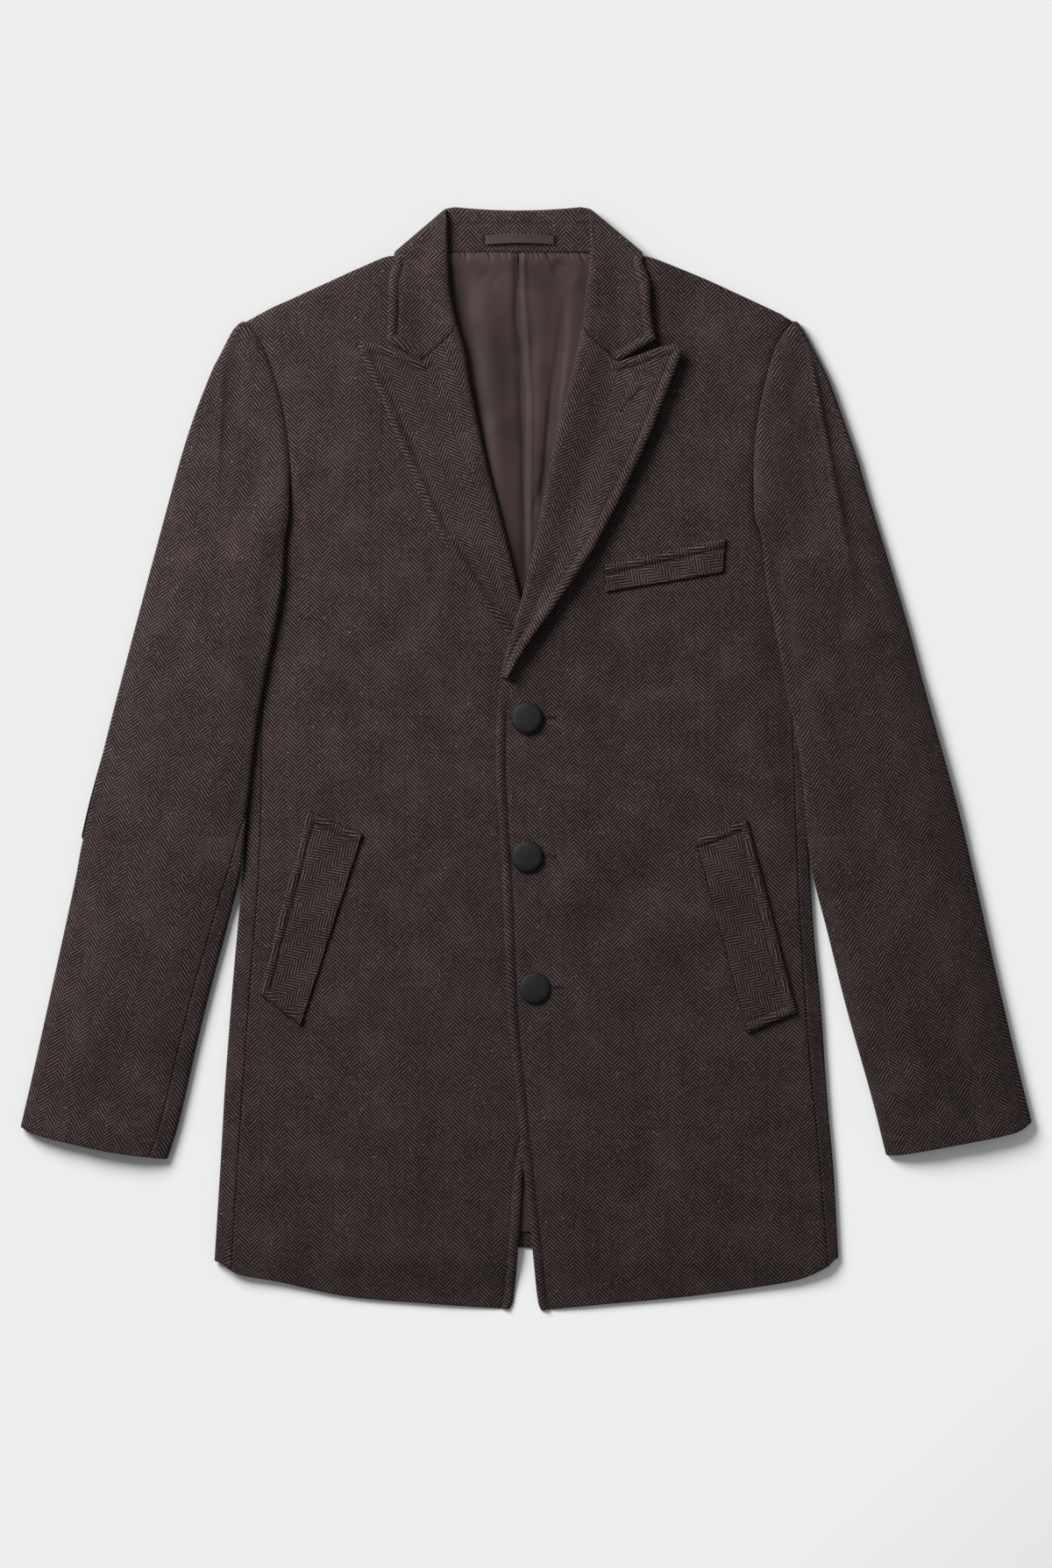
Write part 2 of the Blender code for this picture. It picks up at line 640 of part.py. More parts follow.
def make_sleeve(side):
    """A sleeve's upper and under pieces, which meet along the outer fold and at the front seam."""
    fold_rows = 14
    gap = Vector((SIGN[side] * 0.5, 0))
    hole = [point + gap for point in armhole(side, ARMPIT)]
    inner = spaced(smooth_line(SLEEVE_INNER[side]), fold_rows) + hole
    silhouette = route(list(reversed(smooth_line(SLEEVE_OUTER[side]))))
    outer = [silhouette(share) for share in route(inner).shares]
    plan = panel(outer, inner, route(smooth_line(CUFF[side])), route([outer[-1], inner[-1]]))
    upper_rows, under_rows = [], []
    for row in range(len(inner)):
        wrap = 1 if row < fold_rows else 0.5 if row == fold_rows else 0
        sizes = sleeve_row_sizes(side, outer[row], inner[row])
        upper_rows.append(sleeve_upper_row(side, plan, row, wrap, *sizes))
        under_rows.append(sleeve_under_row(side, plan, row, wrap, *sizes))
    cloth("sleeve_upper_" + side, upper_rows, face_up=side == "left")
    cloth("sleeve_under_" + side, under_rows, face_up=side == "left")


def sleeve_row_sizes(side, start, end):
    """A row's width, the reach of its outer fold, the radius of its inner fold, and its seam from there."""
    width = (end - start).length
    under, upper = sleeve_levels(side, *start)
    reach = min((upper - under + WALL) / 2, width * 0.4)
    under, upper = sleeve_levels(side, *end)
    radius = (upper - under) / 2
    return width, reach, radius, max(read(SLEEVE_SEAM[side], end.y), radius + WALL / 2 + 1)


def sleeve_turn(side, plan, row, u, angle):
    """A point on one of a sleeve's folds."""
    x, y = plan(u, row)
    under, upper = sleeve_levels(side, x, y)
    return x, y, (under + upper) / 2 + (upper - under) / 2 * math.sin(angle)


def sleeve_upper_row(side, plan, row, wrap, width, reach, radius, seam):
    points = []
    for angle in (math.radians(degrees) for degrees in (8, 48)):
        points.append(sleeve_turn(side, plan, row, (reach - (reach - WALL / 2) * math.cos(angle)) / width, angle))
    for u in evenly(9, reach / width, 1 - mix(0.7, seam, wrap) / width):
        x, y = plan(u, row)
        points.append((x, y, sleeve_levels(side, x, y)[1]))
    return points


def sleeve_under_row(side, plan, row, wrap, width, reach, radius, seam):
    """The under layer and, below the armpit, the inner fold that brings it round to the front seam."""
    points = []
    for angle in (math.radians(degrees) for degrees in (-52, -70)):
        points.append(sleeve_turn(side, plan, row, (reach - (reach - WALL / 2) * math.cos(angle)) / width, angle))
    turns = [math.radians(mix(-90, degrees, wrap)) for degrees in (-45, 0, 45, 90)]
    inner_reach = radius + WALL / 2 if wrap else min(10, width * 0.3)
    flat_end = 1 - inner_reach / width
    strip = [] if wrap else evenly(len(turns) + 1, flat_end, 1)[1:]
    for u in evenly(8, reach / width, flat_end) + strip:
        x, y = plan(u, row)
        points.append((x, y, sleeve_levels(side, x, y)[0]))
    if not wrap:
        return points
    for angle in turns:
        points.append(sleeve_turn(side, plan, row, 1 - (inner_reach - radius * math.cos(angle)) / width, angle))
    if wrap < 1:
        x, y, z = points[-1]
        return [*points, (x, y, z + 0.4)]
    x, y = plan(1 - (seam - SEAM) / width, row)
    return [*points, (x, y, sleeve_levels(side, x, y)[1])]


def make_patch(side):
    """An oval elbow patch under the sleeve."""
    middle_x, middle_y, half_width, half_length, turn = ELBOW_PATCH[side]
    disc = bmesh.new()
    bmesh.ops.create_cone(
        disc, cap_ends=True, segments=40, radius1=half_width * 0.001, radius2=half_width * 0.001,
        depth=PATCH_WALL * 0.001,
    )
    bmesh.ops.scale(disc, vec=(1, half_length / half_width, 1), verts=disc.verts)
    mesh = bpy.data.meshes.new("elbow_patch_" + side)
    disc.to_mesh(mesh)
    disc.free()
    patch = add_piece("elbow_patch_" + side, mesh, SUEDE)
    patch.location = (middle_x * 0.001, middle_y * 0.001, PATCH_WALL / 2 * 0.001)
    patch.rotation_euler.z = math.radians(turn)


def make_welt(name, corners):
    """A pocket welt: the points of the front under it, moved out by its own thickness."""
    side = "left" if name.endswith("left") else "right"
    points = [Vector(corner) for corner in corners]
    places = []
    for v in evenly(6):
        row = []
        for u in evenly(3):
            low = points[0].lerp(points[1], u)
            high = points[3].lerp(points[2], u)
            x, y = low.lerp(high, v)
            row.append((x, y, cloth_level(side, x, y) + WALL + SEAM + 0.1))
        places.append(row)
    cloth(name, places, face_up=side == "right" and name != "welt_chest")


def make_button(name, x, y):
    """A covered button: a turned profile with a softly domed face."""
    underside = cloth_level("right", x, y + BUTTON_RADIUS) + WALL / 2 + SEAM
    dome = BUTTON_HEIGHT - BUTTON_RIM
    profile = [(0, BUTTON_HEIGHT), (0.45, BUTTON_RIM + 0.93 * dome), (0.78, BUTTON_RIM + 0.62 * dome),
               (0.95, BUTTON_RIM + 0.18 * dome), (1, BUTTON_RIM * 0.7), (0.96, 0.25), (0.9, 0), (0, 0)]
    points = [(radius * (BUTTON_RADIUS if radius else 0), height) for radius, height in profile]
    line = bpy.data.meshes.new(name)
    line.from_pydata([(px * 0.001, 0, pz * 0.001) for px, pz in points],
                     [(i, i + 1) for i in range(len(points) - 1)], [])
    button = add_piece(name, line, COVERED)
    button.location = (x * 0.001, y * 0.001, underside * 0.001)
    turn = button.modifiers.new("Turn", "SCREW")
    turn.steps = turn.render_steps = BUTTON_SIDES
    turn.use_merge_vertices = True
    turn.merge_threshold = 0.00001


def make_loop():
    """The hanger loop, both ends tucked in at the stand and the middle bowed off it."""
    base = STAND_LEVEL + WALL / 2 + SEAM + LOOP_WALL / 2
    places = []
    for share in evenly(10):
        x = mix(*LOOP_ENDS, share)
        rise = LOOP_BOW * math.sin(math.pi * share)
        bow = 1.2 * math.sin(math.pi * share)
        places.append([(x, mix(*LOOP_EDGES, across) + bow, base + rise) for across in (0, 0.5, 1)])
    cloth("hanger_loop", places, SATIN, LOOP_WALL, face_up=False)


for leftover in list(bpy.data.objects):
    bpy.data.objects.remove(leftover)
coat = bpy.data.collections.new("tweed_overcoat")
bpy.context.scene.collection.children.link(coat)

make_back()
make_lining()
make_collar()
make_stand()
make_loop()
for coat_side in ("left", "right"):
    make_front(coat_side)
    make_lapel(coat_side)
    make_sleeve(coat_side)
    make_patch(coat_side)
for welt_name, welt_corners in WELTS.items():
    make_welt(welt_name, welt_corners)
for button_name, (button_x, button_y) in BUTTONS.items():
    make_button(button_name, button_x, button_y)
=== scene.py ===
"""The looks of a herringbone tweed overcoat, buttoned and laid flat on a pale table, face up.

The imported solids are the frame. Every cloth piece is a thin shell on its solid's form: a grid of points on
the middle of the cloth, with a face on each side that meet in a rounded rim. Sizes are in millimetres until a
mesh is made. "left" and "right" are sides of the picture.
"""

import math

import bmesh
import bpy
import numpy
from mathutils import Matrix, Vector, noise as cloudy


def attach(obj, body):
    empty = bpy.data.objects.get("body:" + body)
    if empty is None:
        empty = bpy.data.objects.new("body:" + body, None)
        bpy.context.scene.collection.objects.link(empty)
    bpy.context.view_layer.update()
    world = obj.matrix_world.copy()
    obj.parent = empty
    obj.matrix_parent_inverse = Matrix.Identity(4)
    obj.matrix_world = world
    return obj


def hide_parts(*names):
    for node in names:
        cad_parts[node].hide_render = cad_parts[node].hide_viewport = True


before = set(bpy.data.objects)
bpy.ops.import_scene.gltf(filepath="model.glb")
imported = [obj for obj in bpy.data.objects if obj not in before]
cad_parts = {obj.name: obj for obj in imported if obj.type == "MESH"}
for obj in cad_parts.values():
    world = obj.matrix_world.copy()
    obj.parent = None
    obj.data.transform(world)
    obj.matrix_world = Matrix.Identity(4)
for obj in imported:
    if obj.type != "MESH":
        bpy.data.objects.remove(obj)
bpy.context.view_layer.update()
MM = 0.001

# ------------------------------------------------------------------------------
# Back. Overcoat tweed, cut whole. It lies on the table, wraps up over both sides as a soft fold, and is sewn
# to the fronts on the upper face. All the coat's cloth is this brown herringbone, napped so its lines are soft.

WALL = 2.4  # thickness of the tweed with its canvas or turnings
SEAM = 0.1  # between two pieces that are sewn together
PITCH = 3.0  # from the middle of one layer to the middle of the next
BACK_LEVEL = 1.25  # the middle of the back's cloth, above the table
FRONT_LEVEL = 7.4  # the middle of the fronts' cloth
HEM_DROOP = 5.0  # the fronts hang over the back's hem
UNDERARM = 157.0
MIDDLE = -7.0  # of the neck
SIGN = {"left": -1, "right": 1}
SIDES = ("left", "right")
OUTLINE = {  # the body's outline up to the underarm, and the armhole above it: y, x
    "left": [
        (-407, -253), (-327, -248), (-259, -244), (-168, -237), (-78, -229), (0, -226), (80, -221),
        (157, -212), (172, -203), (190, -193.5), (217, -192), (255, -193), (289, -198.5), (317, -206.5),
        (340, -216), (354, -227),
    ],
    "right": [
        (-405, 253), (-333, 249), (-276, 244), (-197, 238.5), (-140, 233), (-24, 226), (60, 221),
        (157, 209), (172, 197), (190, 186), (217, 184), (252, 184.5), (274, 187), (305, 193), (335, 202),
        (354.5, 215),
    ],
}
SIDE_SEAM = {  # on the upper face: y, x
    "left": [
        (-414.5, -239), (-327, -233.5), (-259, -229), (-168, -222.5), (-78, -216), (80, -213), (157, -208),
    ],
    "right": [(-411, 244.5), (-310, 236), (-244, 229.5), (-118, 221), (22, 216), (90, 212.5), (157, 205)],
}
BACK_HEM = [(-253, -407), (-150, -400), (0, -396), (150, -400), (253, -405)]
FRONT_HEM = {  # from the side seam to the front edge: x, y
    "left": [(-239, -414.5), (-229, -418.5), (-201, -423.5), (-146, -435.5), (-80, -441.5), (-14, -446)],
    "right": [(244.5, -411), (227, -419.5), (202, -425.5), (132, -435.5), (58, -442.5), (12, -447)],
}
SHOULDER = {  # from the armhole to the neck, the last rows under the collar: x, y
    "left": [
        (-227, 354), (-206, 365.5), (-187, 374), (-142, 394.5), (-115, 406), (-102, 408), (-84, 417),
        (-68, 423),
    ],
    "right": [
        (215, 354.5), (203.5, 361.5), (153, 385), (127, 396), (102, 405.5), (89, 408), (72, 417), (56, 423),
    ],
}
FRONT_EDGE = {  # below the break, and the roll line above it: y, x
    "left": [
        (-446, -14), (-441, -11), (-394, -6.5), (-334, -2), (-290, 6), (-208, 14), (-95, 19.5), (0, 23),
        (50, 21), (95, 6), (130, -4), (189, -18.5), (246, -33), (300, -44.5), (333, -50), (352, -56),
        (380, -61.5), (405, -63), (448, -64.5),
    ],
    "right": [
        (-447, 12), (-441, 9.5), (-393, 4.5), (-334, -2), (-259, -9.5), (-208, -14.5), (-95, -19.5),
        (-24, -24), (12, -24.5), (50, -23), (77, -19), (100, -12.5), (132, -3.5), (171, 5.5), (189, 9),
        (246, 20), (278, 28), (316, 37), (347, 44.5), (383, 48.5), (405, 51), (448, 50.5),
    ],
}
RIM = (0, 0.08, 0.3, 0.7, 1.3)  # distances in from an edge at which its rounding is sampled
NARROWEST = 0.0101  # metres: a cut strip is never narrower than this


def ease(start, end, value):
    """0 before start, 1 after end, and a smooth rise between."""
    share = min(max((value - start) / (end - start), 0), 1)
    return share * share * (3 - 2 * share)


def mix(first, second, share):
    return first * (1 - share) + second * share


def evenly(count, start=0.0, end=1.0):
    return [start + (end - start) * i / count for i in range(count + 1)]


def slope(rows, index):
    low = max(index - 1, 0)
    high = min(index + 1, len(rows) - 1)
    return (rows[high][1] - rows[low][1]) / (rows[high][0] - rows[low][0])


def read(rows, place):
    """The second column of a table at a place in its first, on a smooth curve through its rows."""
    rows = sorted(rows)
    place = min(max(place, rows[0][0]), rows[-1][0])
    index = next(i for i in range(len(rows) - 1) if place <= rows[i + 1][0])
    (start, low), (end, high) = rows[index], rows[index + 1]
    step = end - start
    t = (place - start) / step
    out = slope(rows, index) * step
    into = slope(rows, index + 1) * step
    return low + t * (out + t * (3 * (high - low) - 2 * out - into + t * (out + into - 2 * (high - low))))


def smooth_line(rows, steps=8):
    """Points on a smooth curve through the rows of a table of x, y."""
    points = [Vector(row) for row in rows]
    ends = [2 * points[0] - points[1], *points, 2 * points[-1] - points[-2]]
    line = []
    for before, start, end, after in zip(ends, ends[1:], ends[2:], ends[3:]):
        for step in range(steps):
            t = step / steps
            bend = 2 * before - 5 * start + 4 * end - after
            turn = 3 * start - before - 3 * end + after
            line.append(0.5 * (2 * start + t * (end - before) + t * t * bend + t * t * t * turn))
    return line + [points[-1]]


def table_line(table, low, high, pitch=4.0):
    """Points along a table of y, x between two heights."""
    count = max(int((high - low) / pitch), 2)
    return [Vector((read(table, y), y)) for y in evenly(count, low, high)]


def route(*lines):
    """Gives the point at each share, 0 to 1, of the way along lines that follow one another."""
    points = [point for line in lines for point in line]
    lengths = [0.0]
    for start, end in zip(points, points[1:]):
        lengths.append(lengths[-1] + (end - start).length)
    marks = numpy.array(lengths)

    def at(share):
        want = share * lengths[-1]
        index = min(max(int(numpy.searchsorted(marks, want)) - 1, 0), len(points) - 2)
        span = max(lengths[index + 1] - lengths[index], 1e-9)
        return points[index].lerp(points[index + 1], (want - lengths[index]) / span)

    at.length = lengths[-1]
    return at


def edge_distance(points):
    """Gives how far a place is from a line of points."""
    line = numpy.array([tuple(point) for point in points])
    start, run = line[:-1], numpy.diff(line, axis=0)
    square = numpy.maximum((run**2).sum(axis=1), 1e-9)

    def at(x, y):
        away = numpy.array((x, y)) - start
        share = numpy.clip((away * run).sum(axis=1) / square, 0, 1)
        return float(numpy.sqrt(((away - run * share[:, None]) ** 2).sum(axis=1).min()))

    return at


def panel(start_side, end_side, bottom, top):
    """A flat pattern piece: the point at u across and v up, between four edges that meet at its corners."""
    corners = start_side(0), end_side(0), start_side(1), end_side(1)

    def at(u, v):
        across = start_side(v) * (1 - u) + end_side(v) * u
        along = bottom(u) * (1 - v) + top(u) * v
        low = corners[0] * (1 - u) + corners[1] * u
        high = corners[2] * (1 - u) + corners[3] * u
        return across + along - low * (1 - v) - high * v

    return at


def shares(length, pitch, near=RIM, far=RIM, count=None):
    """Shares along a line of a given length: close together by its two edges and even between them."""
    fit = min(1, 0.9 * length / max(near[-1] + far[-1], 1e-6))
    start = [distance * fit / length for distance in near]
    end = [1 - distance * fit / length for distance in reversed(far)]
    count = count or max(int(length * (end[0] - start[-1]) / pitch), 2)
    return start + evenly(count, start[-1], end[0])[1:-1] + end


def neck_lift(x, y):
    """The layers at the neck lie on the collar's fall, which passes behind them."""
    return PITCH * ease(325, 393, y) * (1 - ease(104, 150, abs(x - MIDDLE)))


SIDE_ROLL = {"left": 1.0, "right": 3.1}  # the fronts curve down towards the side folds
PRESSED = {"left": (10, 50), "right": (7, 34)}  # how far in from the outline a sleeve weighs the front down


def inside(side, x, y):
    """How far a point is in from the body's outline."""
    return SIGN[side] * (read(OUTLINE[side], y) - x)


def front_level(side, x, y):
    """The middle of the front's cloth, and of the back's where it wraps over the side."""
    away = inside(side, x, y)
    pressed = ease(-95, -30, y) * (1 - ease(150, 195, y)) * (1 - ease(*PRESSED[side], away))
    level = FRONT_LEVEL - (FRONT_LEVEL - BACK_LEVEL - PITCH) * pressed
    rolled = SIDE_ROLL[side] * (1 - ease(0, 15, away)) * (1 - ease(130, 200, y))
    level = max(level - rolled, BACK_LEVEL + PITCH)
    return level + neck_lift(x, y) - HEM_DROOP * ease(-4, 42, read(BACK_HEM, x) - y)


class Wire:
    """A node's output in a material, so that shader maths is written as arithmetic."""

    def __init__(self, tree, socket):
        self.tree = tree
        self.socket = socket

    def math(self, operation, *values):
        return add_node(self.tree, "ShaderNodeMath", {"operation": operation}, enumerate((self, *values)))

    def turned(self, operation, value):
        return add_node(self.tree, "ShaderNodeMath", {"operation": operation}, enumerate((value, self)))

    def __add__(self, other):
        return self.math("ADD", other)

    def __sub__(self, other):
        return self.math("SUBTRACT", other)

    def __mul__(self, other):
        return self.math("MULTIPLY", other)

    def __truediv__(self, other):
        return self.math("DIVIDE", other)

    def __rsub__(self, other):
        return self.turned("SUBTRACT", other)

    def __rtruediv__(self, other):
        return self.turned("DIVIDE", other)

    __radd__ = __add__
    __rmul__ = __mul__


def add_node(tree, kind, settings, sockets, output=0):
    """Adds a node: its settings first, then the value or link of each of its sockets."""
    node = tree.nodes.new(kind)
    for name, value in settings.items():
        setattr(node, name, value)
    for key, value in dict(sockets).items():
        if isinstance(value, Wire):
            tree.links.new(value.socket, node.inputs[key])
        else:
            node.inputs[key].default_value = value
    return Wire(tree, node.outputs[output])


def new_finish(name, roughness, **fixed):
    """A material with a Principled shader, its fixed values set on the shader's own sockets."""
    finish = bpy.data.materials.new(name)
    finish.use_nodes = True
    shader = finish.node_tree.nodes["Principled BSDF"]
    shader.inputs["Roughness"].default_value = roughness
    for socket, value in fixed.items():
        shader.inputs[socket.replace("_", " ")].default_value = value
    return finish, finish.node_tree, shader


def feed(wire, shader, socket):
    wire.tree.links.new(wire.socket, shader.inputs[socket])


def weave_place(tree):
    """The place on the cut cloth in millimetres: across the weave's columns, along them, and as a vector."""
    place = add_node(tree, "ShaderNodeUVMap", {"uv_map": "weave"}, {})
    place = add_node(tree, "ShaderNodeVectorMath", {"operation": "SCALE"}, {0: place, "Scale": 1000})
    across = add_node(tree, "ShaderNodeSeparateXYZ", {}, {0: place})
    return across, Wire(tree, across.socket.node.outputs[1]), place


def noise(place, size, detail=2.0, roughness=0.5):
    """Cloudy values round 0.5, with features about size millimetres across."""
    settings = {"Vector": place, "Scale": 1 / size, "Detail": detail, "Roughness": roughness}
    return add_node(place.tree, "ShaderNodeTexNoise", {"noise_dimensions": "2D"}, settings)


def smooth(value, low, high, start=0.0, end=1.0):
    """A value mapped smoothly from one range to another."""
    return add_node(
        value.tree, "ShaderNodeMapRange", {"interpolation_type": "SMOOTHSTEP"},
        {0: value, 1: low, 2: high, 3: start, 4: end},
    )


def blend(share, first, second):
    """A colour between two colours."""
    return add_node(share.tree, "ShaderNodeMix", {"data_type": "RGBA"}, {0: share, 6: first, 7: second}, 2)


def bump(height, depth, strength=1.0):
    """A normal from a height of 0 to 1 that stands for a depth in millimetres."""
    sockets = {"Height": height, "Distance": depth * MM, "Strength": strength}
    return add_node(height.tree, "ShaderNodeBump", {}, sockets)


COLUMN = 9.75  # width of one herringbone column
TWILL = 3.3  # from one twill line to the next along a column
TWILL_RISE = 1.05  # how steeply the lines climb across a column
TWEED_DARK = (0.0058, 0.0036, 0.0036, 1)
TWEED_LIGHT = (0.1005, 0.0673, 0.0663, 1)
FLECK = (0.17, 0.13, 0.12, 1)


def make_tweed():
    """Herringbone: twill lines that climb one way in one column and the other way in the next."""
    finish, tree, shader = new_finish("herringbone tweed", 0.95, Specular_IOR_Level=0.12, Sheen_Weight=0.03)
    across, along, place = weave_place(tree)
    wander = noise(place, 14, 1) - 0.5
    across = across + wander * 1.1
    along = along + (noise(place, 9, 1) - 0.5) * 0.9
    zigzag = across.math("PINGPONG", COLUMN)
    odd = (across / COLUMN).math("FLOOR").math("MODULO", 2).math("ABSOLUTE")
    phase = (along + zigzag * TWILL_RISE) / TWILL + odd * 0.5
    line = smooth(phase.math("PINGPONG", 0.5), 0.18, 0.40)
    from_join = zigzag.math("PINGPONG", COLUMN / 2)
    line = line * smooth(from_join, 0.0, 0.6, 0.7, 1)
    yarn = noise(place, 0.9, 3, 0.65)
    slub = noise(place, 4, 2)
    cloud = noise(place, 34, 3, 0.6)
    light = line * smooth(yarn, 0.3, 0.68, 0.3, 1.1) * smooth(slub, 0.3, 0.7, 0.7, 1.15)
    light = light + (yarn - 0.5) * 0.28 + (cloud - 0.5) * 0.42 - 0.02
    cloth_colour = blend(light, TWEED_DARK, TWEED_LIGHT)
    fleck = smooth(noise(place, 1.7, 1), 0.735, 0.80) * smooth(noise(place, 16, 1), 0.5, 0.64)
    feed(blend(fleck, cloth_colour, FLECK), shader, "Base Color")
    feed(bump(line * 0.6 + yarn * 0.7, 0.30, 0.75), shader, "Normal")
    return finish


TWEED = make_tweed()


def edge_reach(middle, axis):
    """For each point of a grid, how far along its row or column the nearer end is."""
    steps = numpy.linalg.norm(numpy.diff(middle, axis=axis), axis=2)
    start = numpy.zeros(steps.shape[:axis] + (1,) + steps.shape[axis + 1:])
    run = numpy.concatenate([start, numpy.cumsum(steps, axis=axis)], axis=axis)
    whole = numpy.take(run, [-1], axis=axis)
    return numpy.minimum(run, whole - run)


def make_piece(name, shape, finish):
    """A piece in the scene from a finished bmesh."""
    mesh = bpy.data.meshes.new(name)
    shape.to_mesh(mesh)
    shape.free()
    mesh.shade_smooth()
    mesh.materials.append(finish)
    piece = bpy.data.objects.new(name, mesh)
    bpy.context.scene.collection.objects.link(piece)
    return piece


def stand_for(piece, node):
    """The piece rides on the coat and takes the place of a solid, which it hides."""
    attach(piece, "root")
    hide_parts(node)


def cloth(node, places, weave, finish=TWEED, wall=WALL, rests_on=()):
    """A piece of cloth from a grid of points on its middle: two faces that meet in a rounded rim."""
    middle = numpy.array(places)
    rows, columns = middle.shape[:2]
    normal = numpy.cross(numpy.gradient(middle, axis=1), numpy.gradient(middle, axis=0))
    normal /= numpy.maximum(numpy.linalg.norm(normal, axis=2, keepdims=True), 1e-9)
    reach = numpy.minimum(edge_reach(middle, 0), edge_reach(middle, 1))
    half = wall / 2
    swell = half * numpy.sqrt(1 - (1 - numpy.clip(reach / half, 0, 1)) ** 2)
    cut = numpy.array(weave) * MM
    sheet = bmesh.new()
    layer = sheet.loops.layers.uv.new("weave")
    rim = []
    for side in (1, -1):
        made = bmesh.ops.create_grid(sheet, x_segments=columns - 1, y_segments=rows - 1, size=0.5)["verts"]
        order = {vertex: divmod(index, columns) for index, vertex in enumerate(made)}
        spots = (middle + normal * swell[..., None] * side) * MM
        for vertex, spot in order.items():
            vertex.co = spots[spot]
        faces = {face for vertex in made for face in vertex.link_faces}
        for face in faces:
            for corner in face.loops:
                corner[layer].uv = cut[order[corner.vert]]
        if side < 0:
            bmesh.ops.reverse_faces(sheet, faces=list(faces))
        rim += [vertex for vertex, (row, column) in order.items()
                if row in (0, rows - 1) or column in (0, columns - 1)]
    bmesh.ops.remove_doubles(sheet, verts=rim, dist=1e-7)
    piece = make_piece(node + "_cloth", sheet, finish)
    stand_for(piece, node)
    size = numpy.maximum(cut.reshape(-1, 2).max(axis=0) - cut.reshape(-1, 2).min(axis=0), NARROWEST)
    first = cut[1:, 1:] - cut[:-1, :-1]
    second = cut[1:, :-1] - cut[:-1, 1:]
    area = abs(first[..., 0] * second[..., 1] - first[..., 1] * second[..., 0]).sum() / 2
    area = min(float(area), float(size[0] * size[1]))


def flat_weave(places, turn=0.0):
    """Weave places of a piece that lies flat, its columns turned by an angle in degrees."""
    across = Vector((math.cos(math.radians(turn)), math.sin(math.radians(turn))))
    return [[(x * across.x + y * across.y, y * across.x - x * across.y) for x, y, _ in row] for row in places]


def arc_weave(places, column, start=0.0):
    """Weave places measured along the cloth: across from one column of points, and along that column."""
    grid = numpy.array(places)
    steps = numpy.linalg.norm(numpy.diff(grid, axis=1), axis=2)
    run = numpy.concatenate([numpy.zeros((len(grid), 1)), numpy.cumsum(steps, axis=1)], axis=1)
    run = run - run[:, column:column + 1] + start
    rise = numpy.linalg.norm(numpy.diff(grid[:, column], axis=0), axis=1)
    rise = numpy.concatenate([[0], numpy.cumsum(rise)])
    return [[(run[row, i], rise[row]) for i in range(grid.shape[1])] for row in range(len(grid))]


def back_wrap(side, edge, closed):
    """From the side seam round the fold to the underside, or the flat strip along the armhole."""
    sign = SIGN[side]
    turns = [90 - 15 * step for step in range(13)]
    rims = (1, 0.97, 0.9, 0.78, 0.6, 0.3)
    y = edge.y
    level = front_level(side, edge.x, min(y, UNDERARM))
    radius = (level - BACK_LEVEL) / 2
    reach = radius + WALL / 2
    hem_slope = (FRONT_HEM[side][0][1] - OUTLINE[side][0][0]) * (1 - ease(-410, -350, y))
    seam = max(sign * (edge.x - read(SIDE_SEAM[side], y + hem_slope)) - SEAM, reach + 0.4)
    wrap = []
    for share in rims:
        inward = mix(reach, seam, share)
        x = edge.x - sign * inward
        rise = hem_slope * (inward - reach) / max(seam - reach, 1)
        wrap.append((x, y + rise, front_level(side, x, min(y, UNDERARM))))
    for degrees in turns:
        turn = math.radians(degrees)
        inward = reach - radius * math.cos(turn)
        wrap.append((edge.x - sign * inward, y, BACK_LEVEL + radius + radius * math.sin(turn)))
    strip = []
    for step in range(len(wrap)):
        x = edge.x - sign * 0.4 * step
        strip.append((x, y, BACK_LEVEL + neck_lift(x, y) + 0.7 * (1 - ease(175, 215, y))))
    return [tuple(mix(a, b, closed) for a, b in zip(low, high)) for low, high in zip(strip, wrap)]


def make_back():
    sides = {}
    for side in SIDES:
        low = OUTLINE[side][0][0]
        sides[side] = route(table_line(OUTLINE[side], low, OUTLINE[side][-1][0]))
    neck = [Vector(point) for point in ((-98, 404), (-62, 410.5), (48, 410.5), (84, 404))]
    left_shoulder = smooth_line(SHOULDER["left"][:-3])
    right_shoulder = list(reversed(smooth_line(SHOULDER["right"][:-3])))
    top = route(left_shoulder, neck, right_shoulder)
    plan = panel(sides["left"], sides["right"], route(smooth_line(BACK_HEM)), top)
    places = []
    for v in shares(sides["left"].length, 6, RIM + (3, 6), RIM):
        start, end = sides["left"](v), sides["right"](v)
        left = back_wrap("left", start, 1 - ease(UNDERARM, UNDERARM + 15, start.y))
        right = back_wrap("right", end, 1 - ease(UNDERARM, UNDERARM + 15, end.y))
        width = end.x - start.x
        ends = (left[-1][0] - start.x) / width, (right[-1][0] - start.x) / width
        flat = [plan(u, v) for u in evenly(50, *ends)]
        middle = [(x, y, BACK_LEVEL + neck_lift(x, y)) for x, y in flat[1:-1]]
        places.append(left + middle + list(reversed(right)))
    cloth("back", places, arc_weave(places, len(places[0]) // 2))


make_back()

# ------------------------------------------------------------------------------
# Back lining. Mauve-brown satin, sewn in at the neck seam, where it puckers, with a soft pleat down the
# middle. It is cut full and is loose in the coat, so it lies in long shallow folds.

LINING_WALL = 1.0
LINING_LIFT = 1.5  # where it shows between the fronts, it is fuller
LINING_FALL = 0.035  # how steeply it sinks towards the right, for each millimetre
LINING_LEVEL = 3.75  # where the fronts press it down
NECK_SEAM = 410.7
LINING_SIDE = [(-205, -378), (-190, -80), (-170, 20), (-162, 200), (-152, 300), (-110, 372), (-58, 410.7)]
LINING_NECK = {"left": -64, "right": 51}
LINING_LOW = -383
SATIN_DARK = (0.0295, 0.0192, 0.0188, 1)
SATIN_LIGHT = (0.0440, 0.0286, 0.0280, 1)
